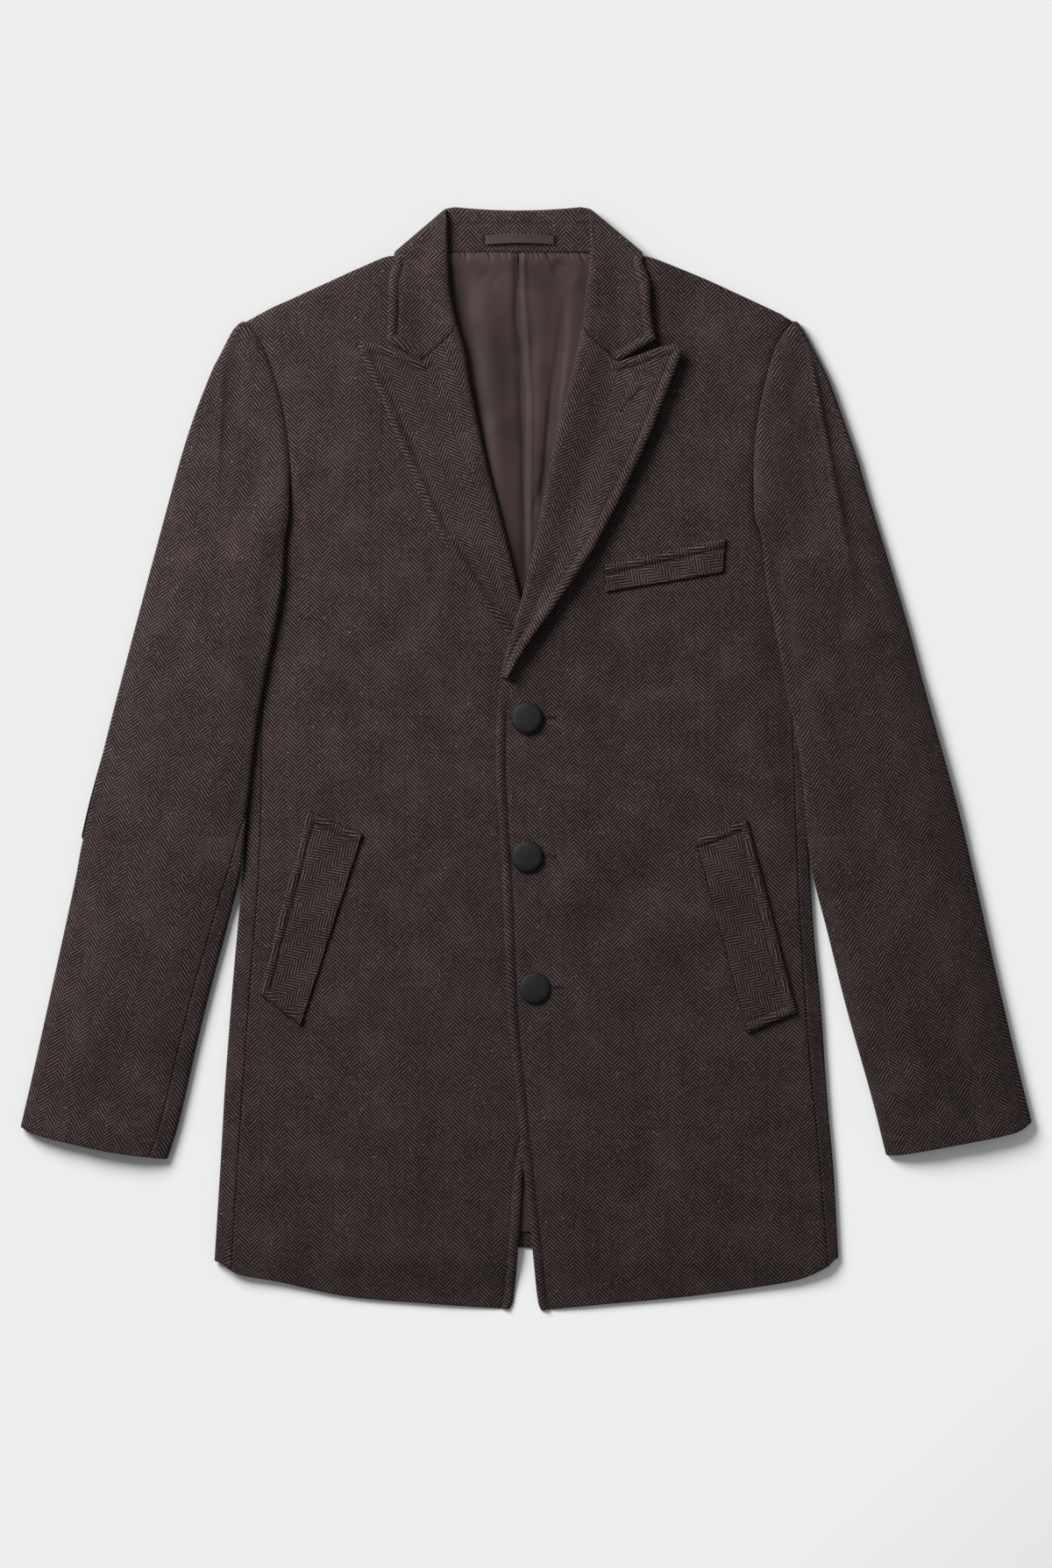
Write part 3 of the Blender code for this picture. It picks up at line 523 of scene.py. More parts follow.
# Long folds and dimples of the lining: x and y of each end, breadth, height
LINING_FOLDS = [
    (-7.4, 452, -6.4, 330, 3.4, -1.5), (-5.4, 440, -5.2, 350, 1.1, -1.1), (-2.6, 450, -2.0, 330, 2.4, 1.0),
    (-6.8, 400, -0.6, 250, 4.6, -1.7), (-0.4, 380, 4.2, 250, 2.0, 1.0), (-1.4, 330, -0.8, 120, 4.2, -1.8),
    (3.6, 320, 2.6, 120, 1.6, 1.2), (-2.2, 270, -1.4, 190, 1.6, -1.5), (-36, 430, -16, 120, 12.0, 3.0),
    (-52, 400, -34, 250, 7.0, -0.8), (15, 400, 6, 180, 6.0, 1.2), (33.5, 388, 13.5, 190, 4.0, -2.2),
    (22, 318, 12.0, 200, 1.6, -2.0), (44, 420, 26, 260, 7.5, 0.6), (20, 403, 39, 388, 5.5, -2.3),
    (-4.9, 384, -5.6, 370, 1.3, -1.3), (-38, 396, -22, 382, 6.0, -0.9), (8, 214, 5, 196, 1.8, -0.9),
    (14, 232, 9, 206, 2.0, -1.0),
]
# Gathers under the neck seam: x at the seam, how far they lean and reach down, breadth, depth
GATHERS = [
    (-53.5, 3, 6, 1.0, 0.9), (-49.5, 2.0, 9, 0.8, 1.4), (-40, -2, 4, 1.0, 0.6), (-31.5, 4.5, 8, 0.9, 1.9),
    (-22.5, 3, 5, 0.8, 0.9), (-16, 2.5, 6, 0.9, 1.0), (-6.2, 0, 12, 0.8, 1.5), (2.5, 1, 4, 0.8, 0.7),
    (4.5, 3.5, 6, 0.8, 1.4), (9.5, 2, 5, 0.8, 0.9), (15.5, 4.5, 8, 1.0, 2.1), (25, -2, 4, 0.9, 0.6),
    (33.5, 3, 5, 0.8, 0.9), (43, 6, 13, 1.2, 1.8),
]


def creases(rows, x, y):
    """The height of a table of soft ridges and troughs: x and y of each end, breadth, height."""
    total = 0
    for start_x, start_y, end_x, end_y, breadth, height in rows:
        run_x, run_y = end_x - start_x, end_y - start_y
        share = ((x - start_x) * run_x + (y - start_y) * run_y) / (run_x * run_x + run_y * run_y)
        if 0 < share < 1:
            away = math.hypot(x - start_x - run_x * share, y - start_y - run_y * share) / breadth
            if away < 3:
                total += height * math.exp(-away * away) * ease(0, 0.3, share) * (1 - ease(0.7, 1, share))
    return total


def make_satin():
    finish, tree, shader = new_finish("lining satin", 0.55, Specular_IOR_Level=0.09)
    across, along, place = weave_place(tree)
    streak = add_node(tree, "ShaderNodeCombineXYZ", {}, {0: across / 0.6, 1: along / 1.5})
    thread = noise(streak, 1, 2)
    cloud = noise(place, 45, 2)
    tone = thread * 0.2 + cloud * 0.8
    feed(blend(smooth(tone, 0.3, 0.7), SATIN_DARK, SATIN_LIGHT), shader, "Base Color")
    feed(bump(thread, 0.03, 0.5), shader, "Normal")
    return finish


SATIN = make_satin()


def gather(x, y, seam_x, lean, reach, breadth, depth):
    """Depth of one gather, which fades out as it runs down from the neck seam."""
    share = (NECK_SEAM - y) / reach
    if share > 1:
        return 0
    away = (x - seam_x - lean * share) / (breadth * (0.6 + 0.8 * share))
    return depth * math.exp(-away * away) * (1 - share * share)


def make_lining():
    sides = {}
    for side in SIDES:
        table = [(-SIGN[side] * x, y) for x, y in LINING_SIDE]
        table[-1] = (LINING_NECK[side], NECK_SEAM)
        sides[side] = route(smooth_line(table))
    hem = route([sides["left"](0), Vector((0, LINING_LOW)), sides["right"](0)])
    plan = panel(sides["left"], sides["right"], hem, route([sides["left"](1), sides["right"](1)]))
    places = []
    for v in shares(sides["left"].length, 5, RIM, RIM + (2, 3, 4, 5, 6, 7.5, 9, 11, 13)):
        row = []
        for u in evenly(220):
            x, y = plan(u, v)
            folds = creases(LINING_FOLDS, x, y) - sum(gather(x, y, *sizes) for sizes in GATHERS)
            folds += LINING_LIFT + 0.5 * cloudy.noise(Vector((x / 16, y / 24, 9)))
            folds -= LINING_FALL * max(x + 12, 0)
            folds += 1.0 * ease(392, 404, y) * (1 - ease(405.5, 410.7, y))
            left_cover = ease(-2, 8, read(FRONT_EDGE["left"], y) - x)
            right_cover = ease(-2, 8, x - read(FRONT_EDGE["right"], y))
            folds *= ease(60, 130, y) * (1 - max(left_cover, right_cover))
            row.append((x, y, LINING_LEVEL + neck_lift(x, y) + max(folds, -0.6)))
        places.append(row)
    cloth("back_lining", places, flat_weave(places), SATIN, LINING_WALL, ["back"])


make_lining()

# ------------------------------------------------------------------------------
# Fronts. Tweed over canvas. The right front laps over the left and buttons there. Their edges are turned out
# and pressed, so a soft roll runs beside each; the cloth pulls a little towards the buttons and the armholes.

BREAK = 52.0  # height at which the lapels begin to turn back
SHOULDER_DROP = 3.0
SHOULDER_ROUND = 6.0
ROLL_SEAM = 0.8
ROLL_FULLNESS = 4.4
UNDERARM_INSET = 4.0
EDGE_ROLL = 1.5  # the turned edge stands above the cloth beside it
EDGE_GROOVE = 0.6  # depth of the pressed groove behind it
EDGE_INNER = 8.0  # how far in the roll has sunk into the cloth
VALLEY = 2.2
ARMHOLE_SINK = 1.3
TURNED = RIM + (2.1, 3.0, 3.9, 4.8, 5.7, 6.5, 7.2, 7.9, 8.7, 9.8, 11.5)
# Pulls and slack in the fronts: x and y of each end, breadth, height
FRONT_CREASES = {
    "left": [
        (-196, 262, -108, 276, 11, 0.8), (-198, 226, -92, 214, 13, -0.7), (-192, 196, -110, 180, 12, 0.8),
        (-150, 330, -118, 240, 16, 0.6), (-60, 60, -190, 130, 20, 0.7), (-40, -60, -200, 20, 24, 0.7),
        (-40, -180, -190, -120, 26, -0.6), (-30, -260, -210, -300, 30, 0.6),
        (-120, -340, -150, -420, 18, 0.5),
    ],
    "right": [
        (-25, -166, 150, 21, 18, 1.8), (5, -193, 178, -8, 15, -1.5), (16, -226, 196, -70, 20, 0.9),
        (10, 24, 120, 108, 15, 0.7), (190, 240, 120, 262, 12, 0.6), (188, 196, 110, 170, 13, -0.6),
        (40, -240, 200, -170, 26, -0.6), (20, -330, 190, -290, 30, 0.6), (120, -350, 150, -425, 18, 0.5),
    ],
}


def ripple(x, y, phase):
    """Soft uneven waves that a laid coat is never without."""
    broad = 0.9 * cloudy.noise(Vector((x / 27, y / 40, phase)))
    return broad + 0.28 * cloudy.noise(Vector((x / 11, y / 15, phase + 5)))


def turned_edge(distance, groove=EDGE_GROOVE, inner=EDGE_INNER):
    """Height of the roll beside a turned edge, at a distance in from it, with the groove behind the roll."""
    roll = EDGE_ROLL * ease(-0.4, 3.0, distance) * (1 - ease(3.4, inner, distance))
    return roll - groove * math.exp(-(((distance - 7.8) / 1.4) ** 2))


def shoulder_turn(side, x, y):
    """How far the front has turned down at the shoulder."""
    share = min(max(1 - (read(SHOULDER[side], x) - y) * 0.9 / SHOULDER_ROUND, 0), 1)
    return SHOULDER_DROP * (1 - math.sqrt(1 - share * share))


def overlap_lift(x, y):
    """The right front lies on the left front, and near the break on the left lapel too."""
    reach = 1 - ease(26, 84, x)
    on_front = ease(-390, -337, y) * (1 - ease(140, 215, y))
    on_lapel = ease(12, 74, y) * (1 - ease(140, 215, y))
    return PITCH * reach * (on_front + on_lapel)


def valley(x, y):
    """The fronts sink together towards the edge where they are buttoned."""
    breadth = 46 if x < 0 else 30
    return VALLEY * math.exp(-((x / breadth) ** 2)) * (1 - ease(BREAK, 170, y))


def cloth_level(side, x, y):
    """The middle of a front's cloth away from its turned edges."""
    slack = creases(FRONT_CREASES[side], x, y) + ripple(x, y, 3 * SIGN[side])
    lift = overlap_lift(x, y) if side == "right" else 0
    slack = slack * ease(2, 20, inside(side, x, y)) * ease(0, 25, y - read(FRONT_HEM[side], x))
    return front_level(side, x, y) + lift + slack - valley(x, y)


def roll_gap(side, y):
    """From the front's level to the lapel's or collar's at the fold of the roll line."""
    start = {"left": (120, 220), "right": (60, 150)}[side]
    return PITCH + ROLL_FULLNESS * ease(*start, y) * (1 - 0.6 * ease(375, 425, y))


def fold_radius(side, y):
    return roll_gap(side, y) / 2 + WALL / 2


def make_front(side):
    sign = SIGN[side]
    low = SIDE_SEAM[side][0][0]
    seam = []
    for y in evenly(110, low, UNDERARM):
        seam.append(Vector((read(SIDE_SEAM[side], y) - sign * UNDERARM_INSET * ease(95, 150, y), y)))
    hole = table_line(OUTLINE[side], UNDERARM + 12, OUTLINE[side][-1][0])
    hole_away = edge_distance(hole)
    outer = route(seam, hole)
    inner = []
    for y in evenly(200, FRONT_EDGE[side][0][0], 423):
        depth = (fold_radius(side, y) + ROLL_SEAM) * ease(BREAK - 2, BREAK + 14, y)
        inner.append(Vector((read(FRONT_EDGE[side], y) + sign * depth, y)))
    inner = route(inner)
    shoulder = route(smooth_line(SHOULDER[side]) + [inner(1)])
    plan = panel(outer, inner, route(smooth_line(FRONT_HEM[side])), shoulder)
    places = []
    for v in shares(outer.length, 5, RIM + (3, 6), RIM + (2.5, 4, 6, 8)):
        width = (inner(v) - outer(v)).length
        row = []
        for u in shares(width, 5, RIM + (2.2, 3.4, 5, 7), TURNED, count=44):
            x, y = plan(u, v)
            edge = turned_edge((1 - u) * width) * (1 - ease(BREAK - 20, BREAK, y))
            drop = shoulder_turn(side, x, y) + ARMHOLE_SINK * math.exp(-((hole_away(x, y) / 3.2) ** 2))
            row.append((x, y, cloth_level(side, x, y) + edge - drop))
        places.append(row)
    cloth("front_" + side, places, flat_weave(places), rests_on=["back_lining"])


for side in SIDES:
    make_front(side)

# ------------------------------------------------------------------------------
# Lapels. The front's facing turned back at the roll line, in tweed with its columns along the outer edge.
# They are soft at the roll and pressed at the edge, with sharp peaks; the right lapel springs off the front.

SPRING = {"left": 1.8, "right": 6.4}  # how far the outer edge stands off the front
HOOK = (-90, -80, -62, -44, -26, -8, 10, 28, 46, 60)  # round the fold of the roll, in degrees
NOTCH = 0.5  # share across a leaf at which the notch begins
LAPEL_OUTER = {  # from the end by the break to the peak: x, y
    "left": [
        (0, 84), (-12.5, 100), (-37, 128), (-63, 170), (-71.5, 182), (-99, 246), (-119, 296), (-129, 316),
        (-135.3, 335),
    ],
    "right": [
        (-15.5, 66), (-11.5, 72.5), (-0.5, 91), (15.5, 113), (48, 160), (64.5, 189), (79, 217.5),
        (100.5, 264), (115, 301), (124.5, 325.5), (125.5, 330),
    ],
}
GORGE = {"left": [(-56.5, 350), (-85, 322.5)], "right": [(45, 348), (74, 322)]}
LAPEL_TOP = {
    "left": [(-85, 322.5), (-97, 327.8), (-111.8, 333.8), (-132, 338), (-135.3, 335)],
    "right": [(74, 322), (87, 326), (108, 333), (121, 335), (125.5, 330)],
}
LAPEL_TURN = {"left": 23.0, "right": -22.0}  # of the weave, in degrees
LAPEL_GROOVE = {"left": 0.12, "right": EDGE_GROOVE}
ROLL_INNER = {"left": 9.5, "right": EDGE_INNER}
LAPEL_ROLL = {"left": 1.5, "right": 1.0}  # the left lapel's edge is the fuller one
LEAVES = {}  # the points of each lapel's face, which its sewing lies on


def bent(first, second):
    """An edge that turns a corner, along a leaf where its notch begins."""
    before, after = route(first), route(second)
    return lambda u: before(u / NOTCH) if u <= NOTCH else after((u - NOTCH) / (1 - NOTCH))


def roll_line(side, low, high):
    return route(table_line(FRONT_EDGE[side], low, high, 3))


def curl(side, edge):
    """The fold of the roll at one point of the roll line, from the front's level up to the leaf's."""
    base = cloth_level(side, edge.x + SIGN[side] * fold_radius(side, edge.y), edge.y)
    radius = roll_gap(side, edge.y) / 2
    points = []
    for degrees in HOOK:
        turn = math.radians(degrees)
        inward = fold_radius(side, edge.y) - radius * math.cos(turn)
        points.append((edge.x + SIGN[side] * inward, edge.y, base + radius * (1 + math.sin(turn))))
    return points


def leaf_columns(start, width, count):
    """Shares across a leaf from the end of its fold, with one where the notch begins and more by its edge."""
    corner = max(NOTCH, mix(start, 1, 0.5))
    inner = evenly(count, start, corner)
    outer = shares((1 - corner) * width, 3, (0,), TURNED, count=count - 4)
    return inner[:-1] + [mix(corner, 1, share) for share in outer]


def turned_leaf(side, x, y, u, spring):
    """A point of a lapel or collar leaf away from its roll."""
    roll = SIGN[side] * (x - read(FRONT_EDGE[side], y))
    near = 1 - ease(fold_radius(side, y), fold_radius(side, y) + 30, roll)
    fullness = (roll_gap(side, y) - PITCH) * near
    return x, y, cloth_level(side, x, y) + PITCH + fullness + spring * ease(0.45, 1, u)


def by_gorge(u, away):
    """1 by the gorge seam, where a leaf has no turned edge, and 0 past the notch or away from the seam."""
    return (1 - ease(NOTCH - 0.05, NOTCH + 0.02, u)) * (1 - ease(0, 9, away))


def make_lapel(side):
    gap = Vector((0, -SEAM))
    roll = roll_line(side, LAPEL_OUTER[side][0][1], GORGE[side][0][1] - SEAM)
    outer = route(smooth_line(LAPEL_OUTER[side]))
    gorge = [roll(1), Vector(GORGE[side][1]) + gap]
    top = bent(gorge, [point + gap for point in smooth_line(LAPEL_TOP[side])])
    plan = panel(roll, outer, route([roll(0), outer(0)]), top)
    free_edge = [outer(share) for share in evenly(60)] + [top(share) for share in evenly(40, 1, NOTCH)]
    edge_away = edge_distance(free_edge)
    places = []
    for v in shares(roll.length, 3.2, RIM, TURNED):
        width = (outer(v) - roll(v)).length
        start = fold_radius(side, roll(v).y) / width
        row = curl(side, roll(v))
        for u in leaf_columns(start, width, 15):
            x, y, z = turned_leaf(side, *plan(u, v), u, SPRING[side])
            sewn = by_gorge(u, (plan(u, v) - plan(u, 1)).length)
            rolled = turned_edge(edge_away(x, y), LAPEL_GROOVE[side], ROLL_INNER[side])
            rolled *= ease(start, start + 0.3, u) * (1 - sewn)
            row.append((x, y, z + rolled * LAPEL_ROLL[side]))
        places.append(row)
    LEAVES[side] = numpy.array([row[len(HOOK):] for row in places]).reshape(-1, 3)
    weave = flat_weave(places, LAPEL_TURN[side])
    for row, points in zip(weave, places):
        for index in range(len(HOOK) - 1, -1, -1):
            step = (Vector(points[index]) - Vector(points[index + 1])).length
            row[index] = (row[index + 1][0] - SIGN[side] * step, row[index][1])
    cloth("lapel_" + side, places, weave, rests_on=["front_" + side])


for side in SIDES:
    make_lapel(side)

# ------------------------------------------------------------------------------
# Collar. One strip of tweed cut across the grain: a leaf on each front, turned over the shoulder and passing
# behind the neck as the fall. The leaves meet the lapels at the gorge seam and have the same turned edge.

LEAF_OUTER = {  # from the leaf's corner to the shoulder: x, y
    "left": [(-112.5, 339.5), (-111.5, 358), (-111, 380), (-110.5, 390), (-106.7, 401.7)],
    "right": [(104.5, 339.5), (101, 357.5), (99.5, 383), (98, 391), (93.7, 401.7)],
}
CREASE_CORNER = {"left": Vector((-64.3, 447.5)), "right": Vector((50.3, 447.5))}
OUTER_CORNER = {"left": Vector((-106.5, 411.5)), "right": Vector((93.5, 411.5))}
CREASE_TOP = 437.8
COLLAR_TOP = FRONT_LEVEL + 2 * PITCH + 0.6
COLLAR_COLUMNS = 15
LEAF_SPRING = {"left": 3.0, "right": 3.8}  # the leaf stands off the front at its corner


def collar_leaf(side):
    """Rows of the collar's leaf on the front, from the gorge to where it turns over the shoulder."""
    crease = roll_line(side, GORGE[side][0][1] + SEAM, CREASE_TOP)
    outer = route(smooth_line(LEAF_OUTER[side]))
    corner = Vector(GORGE[side][1]) + Vector((0, SEAM))
    low_edge = bent([crease(0), corner], [corner, outer(0)])
    plan = panel(crease, outer, low_edge, route([crease(1), outer(1)]))
    free_edge = [low_edge(share) for share in evenly(20, NOTCH, 1)] + [outer(share) for share in evenly(60)]
    edge_away = edge_distance(free_edge)

    def leaf_point(u, v):
        x, y, z = turned_leaf(side, *plan(u, v), u, LEAF_SPRING[side] * (1 - ease(0.5, 1, v)))
        sewn = by_gorge(u, (plan(u, v) - plan(u, 0)).length)
        rolled = turned_edge(edge_away(x, y)) * ease(0.1, 0.3, u) * (1 - sewn)
        return x, y, mix(z, COLLAR_TOP, ease(0.7, 1, v)) + rolled

    places = []
    for v in shares(crease.length, 3, TURNED, (0,)):
        edge = crease(v)
        width = (outer(v) - edge).length
        start = fold_radius(side, edge.y) / width
        turned = 1 - ease(415, 436, edge.y)
        row = []
        for index, curled in enumerate(curl(side, edge)):
            laid = Vector(leaf_point(start * index / len(HOOK), v))
            row.append(tuple(laid.lerp(Vector(curled), turned)))
        row += [leaf_point(u, v) for u in leaf_columns(start, width, COLLAR_COLUMNS)]
        places.append(row)
    return places


def fold_shares(side):
    width = (CREASE_CORNER[side] - OUTER_CORNER[side]).length
    start = fold_radius(side, CREASE_TOP) / width
    return [start * i / len(HOOK) for i in range(len(HOOK))] + leaf_columns(start, width, COLLAR_COLUMNS)


def collar_fold(side):
    """Rows of the fold over the shoulder, from the leaf down to the fall behind the neck."""
    corner, far = CREASE_CORNER[side], OUTER_CORNER[side]
    along = (far - corner).normalized()
    normal = Vector((along.y, -along.x)) * SIGN[side]
    radius = (COLLAR_TOP - BACK_LEVEL) / 2
    rows = []
    for degrees in range(72, -91, -9):
        turn = math.radians(degrees)
        inward = radius + 1.25 - radius * math.cos(turn)
        row = []
        for share in fold_shares(side):
            place = corner.lerp(far, share) + normal * inward + along * 6.5 * degrees / 90
            drop = 4.0 * max(-degrees, 0) / 90 * (1 - share) + 1.2 * max(1 - share / 0.08, 0) ** 2
            row.append((place.x, place.y - drop, BACK_LEVEL + radius + radius * math.sin(turn)))
        rows.append(row)
    return rows


def half_weave(side, rows, leaf_rows):
    """Weave places of half the collar: columns across the coat on the leaf, which go on over the fold."""
    weave = []
    for row in rows[:leaf_rows]:
        line = [(y, -SIGN[side] * x) for x, y, _ in row]
        for index in range(len(HOOK) - 1, -1, -1):
            step = (Vector(row[index]) - Vector(row[index + 1])).length
            line[index] = (line[index][0], line[index + 1][1] + step)
        weave.append(line)
    for before, row in zip(rows[leaf_rows - 1:], rows[leaf_rows:]):
        step = (Vector(row[len(HOOK)]) - Vector(before[len(HOOK)])).length
        weave.append([(along + step, across) for along, across in weave[-1]])
    return weave


def make_collar():
    left = collar_leaf("left")
    leaf_rows = len(left)
    left += collar_fold("left")
    right = collar_leaf("right") + collar_fold("right")
    fall = []
    for share in evenly(24)[1:-1]:
        row = []
        for start, end, across in zip(left[-1], right[-1], fold_shares("left")):
            sag = 4 * share * (1 - share)
            low = min(start[1], end[1]) - (9.5 * across + 2.0 * (1 - across)) * sag
            y = mix(mix(start[1], end[1], share), low, sag)
            row.append((mix(start[0], end[0], share), y, BACK_LEVEL))
        fall.append(row)
    places = left + fall + list(reversed(right))
    left_weave = half_weave("left", left, leaf_rows)
    right_weave = half_weave("right", right, leaf_rows)
    ends = [row[-1][len(HOOK)][0] for row in (left_weave, right_weave)]
    whole = sum(ends) + right[-1][len(HOOK)][0] - left[-1][len(HOOK)][0]
    right_weave = [[(whole - along, across) for along, across in row] for row in right_weave]
    fall_weave = []
    for share in evenly(24)[1:-1]:
        fall_weave.append([
            (mix(start[0], end[0], share), mix(start[1], end[1], share))
            for start, end in zip(left_weave[-1], right_weave[-1])
        ])
    weave = left_weave + fall_weave + list(reversed(right_weave))
    cloth("collar", places, weave, rests_on=["front_left", "front_right"])


make_collar()

# ------------------------------------------------------------------------------
# Collar stand. The band of tweed behind the neck: the stand up to a fine stitched seam, and the collar's own
# edge above it, turned down at the top. The hanger loop, a folded satin strip, is sewn to it at both ends.

STAND_LEVEL = BACK_LEVEL + 2 * PITCH
STAND_INSET = 17.0  # the turned edge narrows at both ends, under the collar's corners
STAND_SEAM = 433.8
LOOP_ENDS = (-33.7, 23.1)
LOOP_EDGES = (416.6, 424.4)
LOOP_BOW = 2.0
LOOP_WALL = 0.9


def stand_top(x):
    """The collar's top edge at the back of the neck, which dips in the middle."""
    middle = (CREASE_CORNER["left"].x + CREASE_CORNER["right"].x) / 2
    half = (CREASE_CORNER["right"].x - CREASE_CORNER["left"].x) / 2
    share = abs(x - middle) / half
    return 445.2 + 3.0 * min(share, 1) ** 2 - 9 * ease(0.95, 1.2, share)


def make_stand():
    radius = (STAND_LEVEL - BACK_LEVEL) / 2
    reach = radius + 1.25
    places = []
    for share in shares(132, 3, RIM, RIM):
        low_x = mix(-73, 60, share)
        top_x = mix(-71, 57, share)
        top_y = stand_top(top_x)
        column = []
        for rise in shares(30, 1.3, RIM, (0,)):
            x = mix(low_x, top_x, rise)
            y = mix(NECK_SEAM + SEAM, top_y - reach, rise)
            seam = -0.5 * math.exp(-(((y - STAND_SEAM) / 0.8) ** 2))
            seam += 0.3 * ease(STAND_SEAM, STAND_SEAM + 1.5, y)
            column.append((x, y, STAND_LEVEL + seam))
        for degrees in range(78, -91, -12):
            turn = math.radians(degrees)
            x = top_x - STAND_INSET * (2 * share - 1) * (max(60 - degrees, 0) / 150) ** 1.4
            y = top_y - reach + radius * math.cos(turn)
            z = BACK_LEVEL + radius + radius * math.sin(turn) + 0.3 * ease(-90, 78, degrees)
            column.append((x, y, z))
        places.append(column)
    places = [list(row) for row in zip(*places)]
    cloth("collar_stand", places, arc_weave(places, len(places[0]) // 2, 2.4), rests_on=["back_lining"])


def make_loop():
    base = STAND_LEVEL + 1.25 + SEAM + LOOP_WALL / 2
    places = []
    for across in shares(LOOP_EDGES[1] - LOOP_EDGES[0], 1.2):
        row = []
        for share in evenly(48):
            arch = math.sin(math.pi * share)
            z = base + LOOP_BOW * arch ** 0.8 - 0.25 * math.sin(math.pi * across) * arch
            row.append((mix(*LOOP_ENDS, share), mix(*LOOP_EDGES, across) + 1.2 * arch, z))
        places.append(row)
    cloth("hanger_loop", places, flat_weave(places), SATIN, LOOP_WALL, ["collar_stand"])


make_stand()
make_loop()

# ------------------------------------------------------------------------------
# Sleeves. Each is an upper and an under piece of tweed, its columns along the sleeve. They meet in the outer
# fold and at the front seam near the inner fold. The crowns are eased in, so each drops from the shoulder in
# a soft crease.

ARMPIT = 188.0
PATCH_LIFT = 1.9  # the under piece lies on its elbow patch
SLEEVE_OUTER = {  # outer fold from the shoulder to the cuff: x, y
    "left": [
        (-231, 354), (-238, 348), (-250, 325), (-256, 313), (-275, 262), (-299, 175), (-329, 61.5),
        (-345.5, -4.5), (-360, -68), (-368, -109), (-396, -237), (-410, -298),
    ],
    "right": [
        (220, 354), (226, 345.5), (242, 315), (249, 298.5), (268, 245), (276, 217.5), (306.5, 118),
        (324, 53), (349, -36.5), (364, -99), (379, -166), (396, -239), (409.5, -294),
    ],
}
SLEEVE_INNER = {  # inner fold from the cuff to the armpit: x, y
    "left": [
        (-291, -324), (-281.2, -292.7), (-266.6, -228.8), (-256, -186.2), (-245.3, -146.3), (-236.2, -112),
        (-231.2, -92), (-227.8, -62), (-225, -31.5), (-216.2, 38.5), (-200.2, 122), (-195.8, 158),
        (-193, 188),
    ],
    "right": [
        (291.5, -321), (278.5, -269.5), (259, -201), (242.5, -135), (232, -95), (226.8, -62), (221.5, -0.5),
        (207, 75), (199.5, 115), (195.6, 134), (190.8, 169), (187.6, 188),
    ],
}
CUFF = {
    "left": [(-410, -298), (-394, -305), (-343, -317), (-309, -322), (-291, -324)],
    "right": [(409.5, -294), (394, -303), (343, -313.5), (306, -320), (291.5, -321)],
}
# The front seam, from where the fold begins to turn: y; in on the upper face, or round the fold if negative
SLEEVE_SEAM = {
    "left": [(-324, 12), (-110, 9), (-70, 4), (-25, -5), (60, -7), (188, -6)],
    "right": [(-324, -7), (188, -6)],
}
SLEEVE_LAP = 0.1  # the sleeve's head meets the armhole's edge
HEAD_ROLL = 1.3
HEAD_SINK = 1.3
INNER_ROUND = 27.0  # from the folds, how far in the upper face begins to curve down to them
OUTER_ROUND = 18.0
PUFF = 6.0  # the upper face stands away from the under one between the folds
CROWN_ROUND = 7.0
CROWN_DROP = 5.0
# Distances in from the front seam at which the upper piece is sampled, and shares along the under piece's lip
TAIL = RIM + (2.2, 3.4, 5, 7, 9.5, 12.5, 16)
LIP = (0.08, 0.16, 0.25, 0.34, 0.43, 0.52, 0.61, 0.7, 0.78, 0.85, 0.91, 0.955, 0.98, 1)
# Elbow patches: x and y of the middle, half the width and length, turn in degrees
ELBOW_PATCH = {"left": (-313, -26, 46, 60, -13), "right": (298, -10, 40, 60, 13)}
# Creases of the upper sleeves: x and y of each end, breadth, height
SLEEVE_CREASES = {
    "left": [
        (-241.5, 430, -252, 170, 1.6, 0.8), (-243, 420, -253, 190, 5.0, 0.9), (-231, 380, -242, 230, 7, -1.0),
        (-262, 290, -268, 190, 8, -0.6), (-214, 330, -222, 250, 8, 0.7), (-300, 60, -240, 78, 14, 0.7),
        (-318, 20, -245, -6, 13, -0.7), (-330, -40, -246, -66, 16, 0.7), (-290, 150, -222, 132, 14, 0.6),
        (-350, -120, -262, -150, 17, -0.6), (-372, -200, -282, -222, 18, 0.7),
        (-385, -262, -300, -284, 14, -0.5),
    ],
    "right": [
        (211, 430, 268, 120, 1.8, 2.0), (208, 430, 265, 120, 6.0, 0.9), (220, 430, 277, 120, 7.0, -1.1),
        (218, 320, 236, 240, 7, -0.8), (208, 330, 214, 230, 8, 0.7), (246, 240, 262, 140, 8, 0.8),
        (290, 110, 232, 92, 13, 0.7), (308, 60, 236, 30, 13, -0.7), (320, 10, 240, -16, 15, 0.7),
        (345, -80, 256, -96, 16, -0.7), (362, -150, 268, -168, 17, 0.7), (385, -230, 292, -250, 16, -0.6),
    ],
}


def sleeve_levels(side, x, y):
    """The middles of the under and upper layers of a sleeve, which climbs over the body's side."""
    outside = -inside(side, x, y)
    over = (1 - ease(1, 46, outside)) * ease(-130, -75, y) * (1 - ease(195, 255, y))
    body = front_level(side, x + SIGN[side] * min(outside, 0), y) if outside < 0 else front_level(side, x, y)
    under = mix(BACK_LEVEL, body + PITCH + 0.2, over)
    upper = mix(FRONT_LEVEL, body + 2 * PITCH + 0.2, over)
    middle_x, middle_y, half_width, half_length, turn = ELBOW_PATCH[side]
    place = Vector((x - middle_x, y - middle_y))
    place.rotate(Matrix.Rotation(math.radians(-turn), 2))
    reach = math.hypot(place.x / (half_width + 4), place.y / (half_length + 4))
    patch = PATCH_LIFT * (1 - ease(1.1, 1.5, reach))
    return under + patch * (1 - over), upper


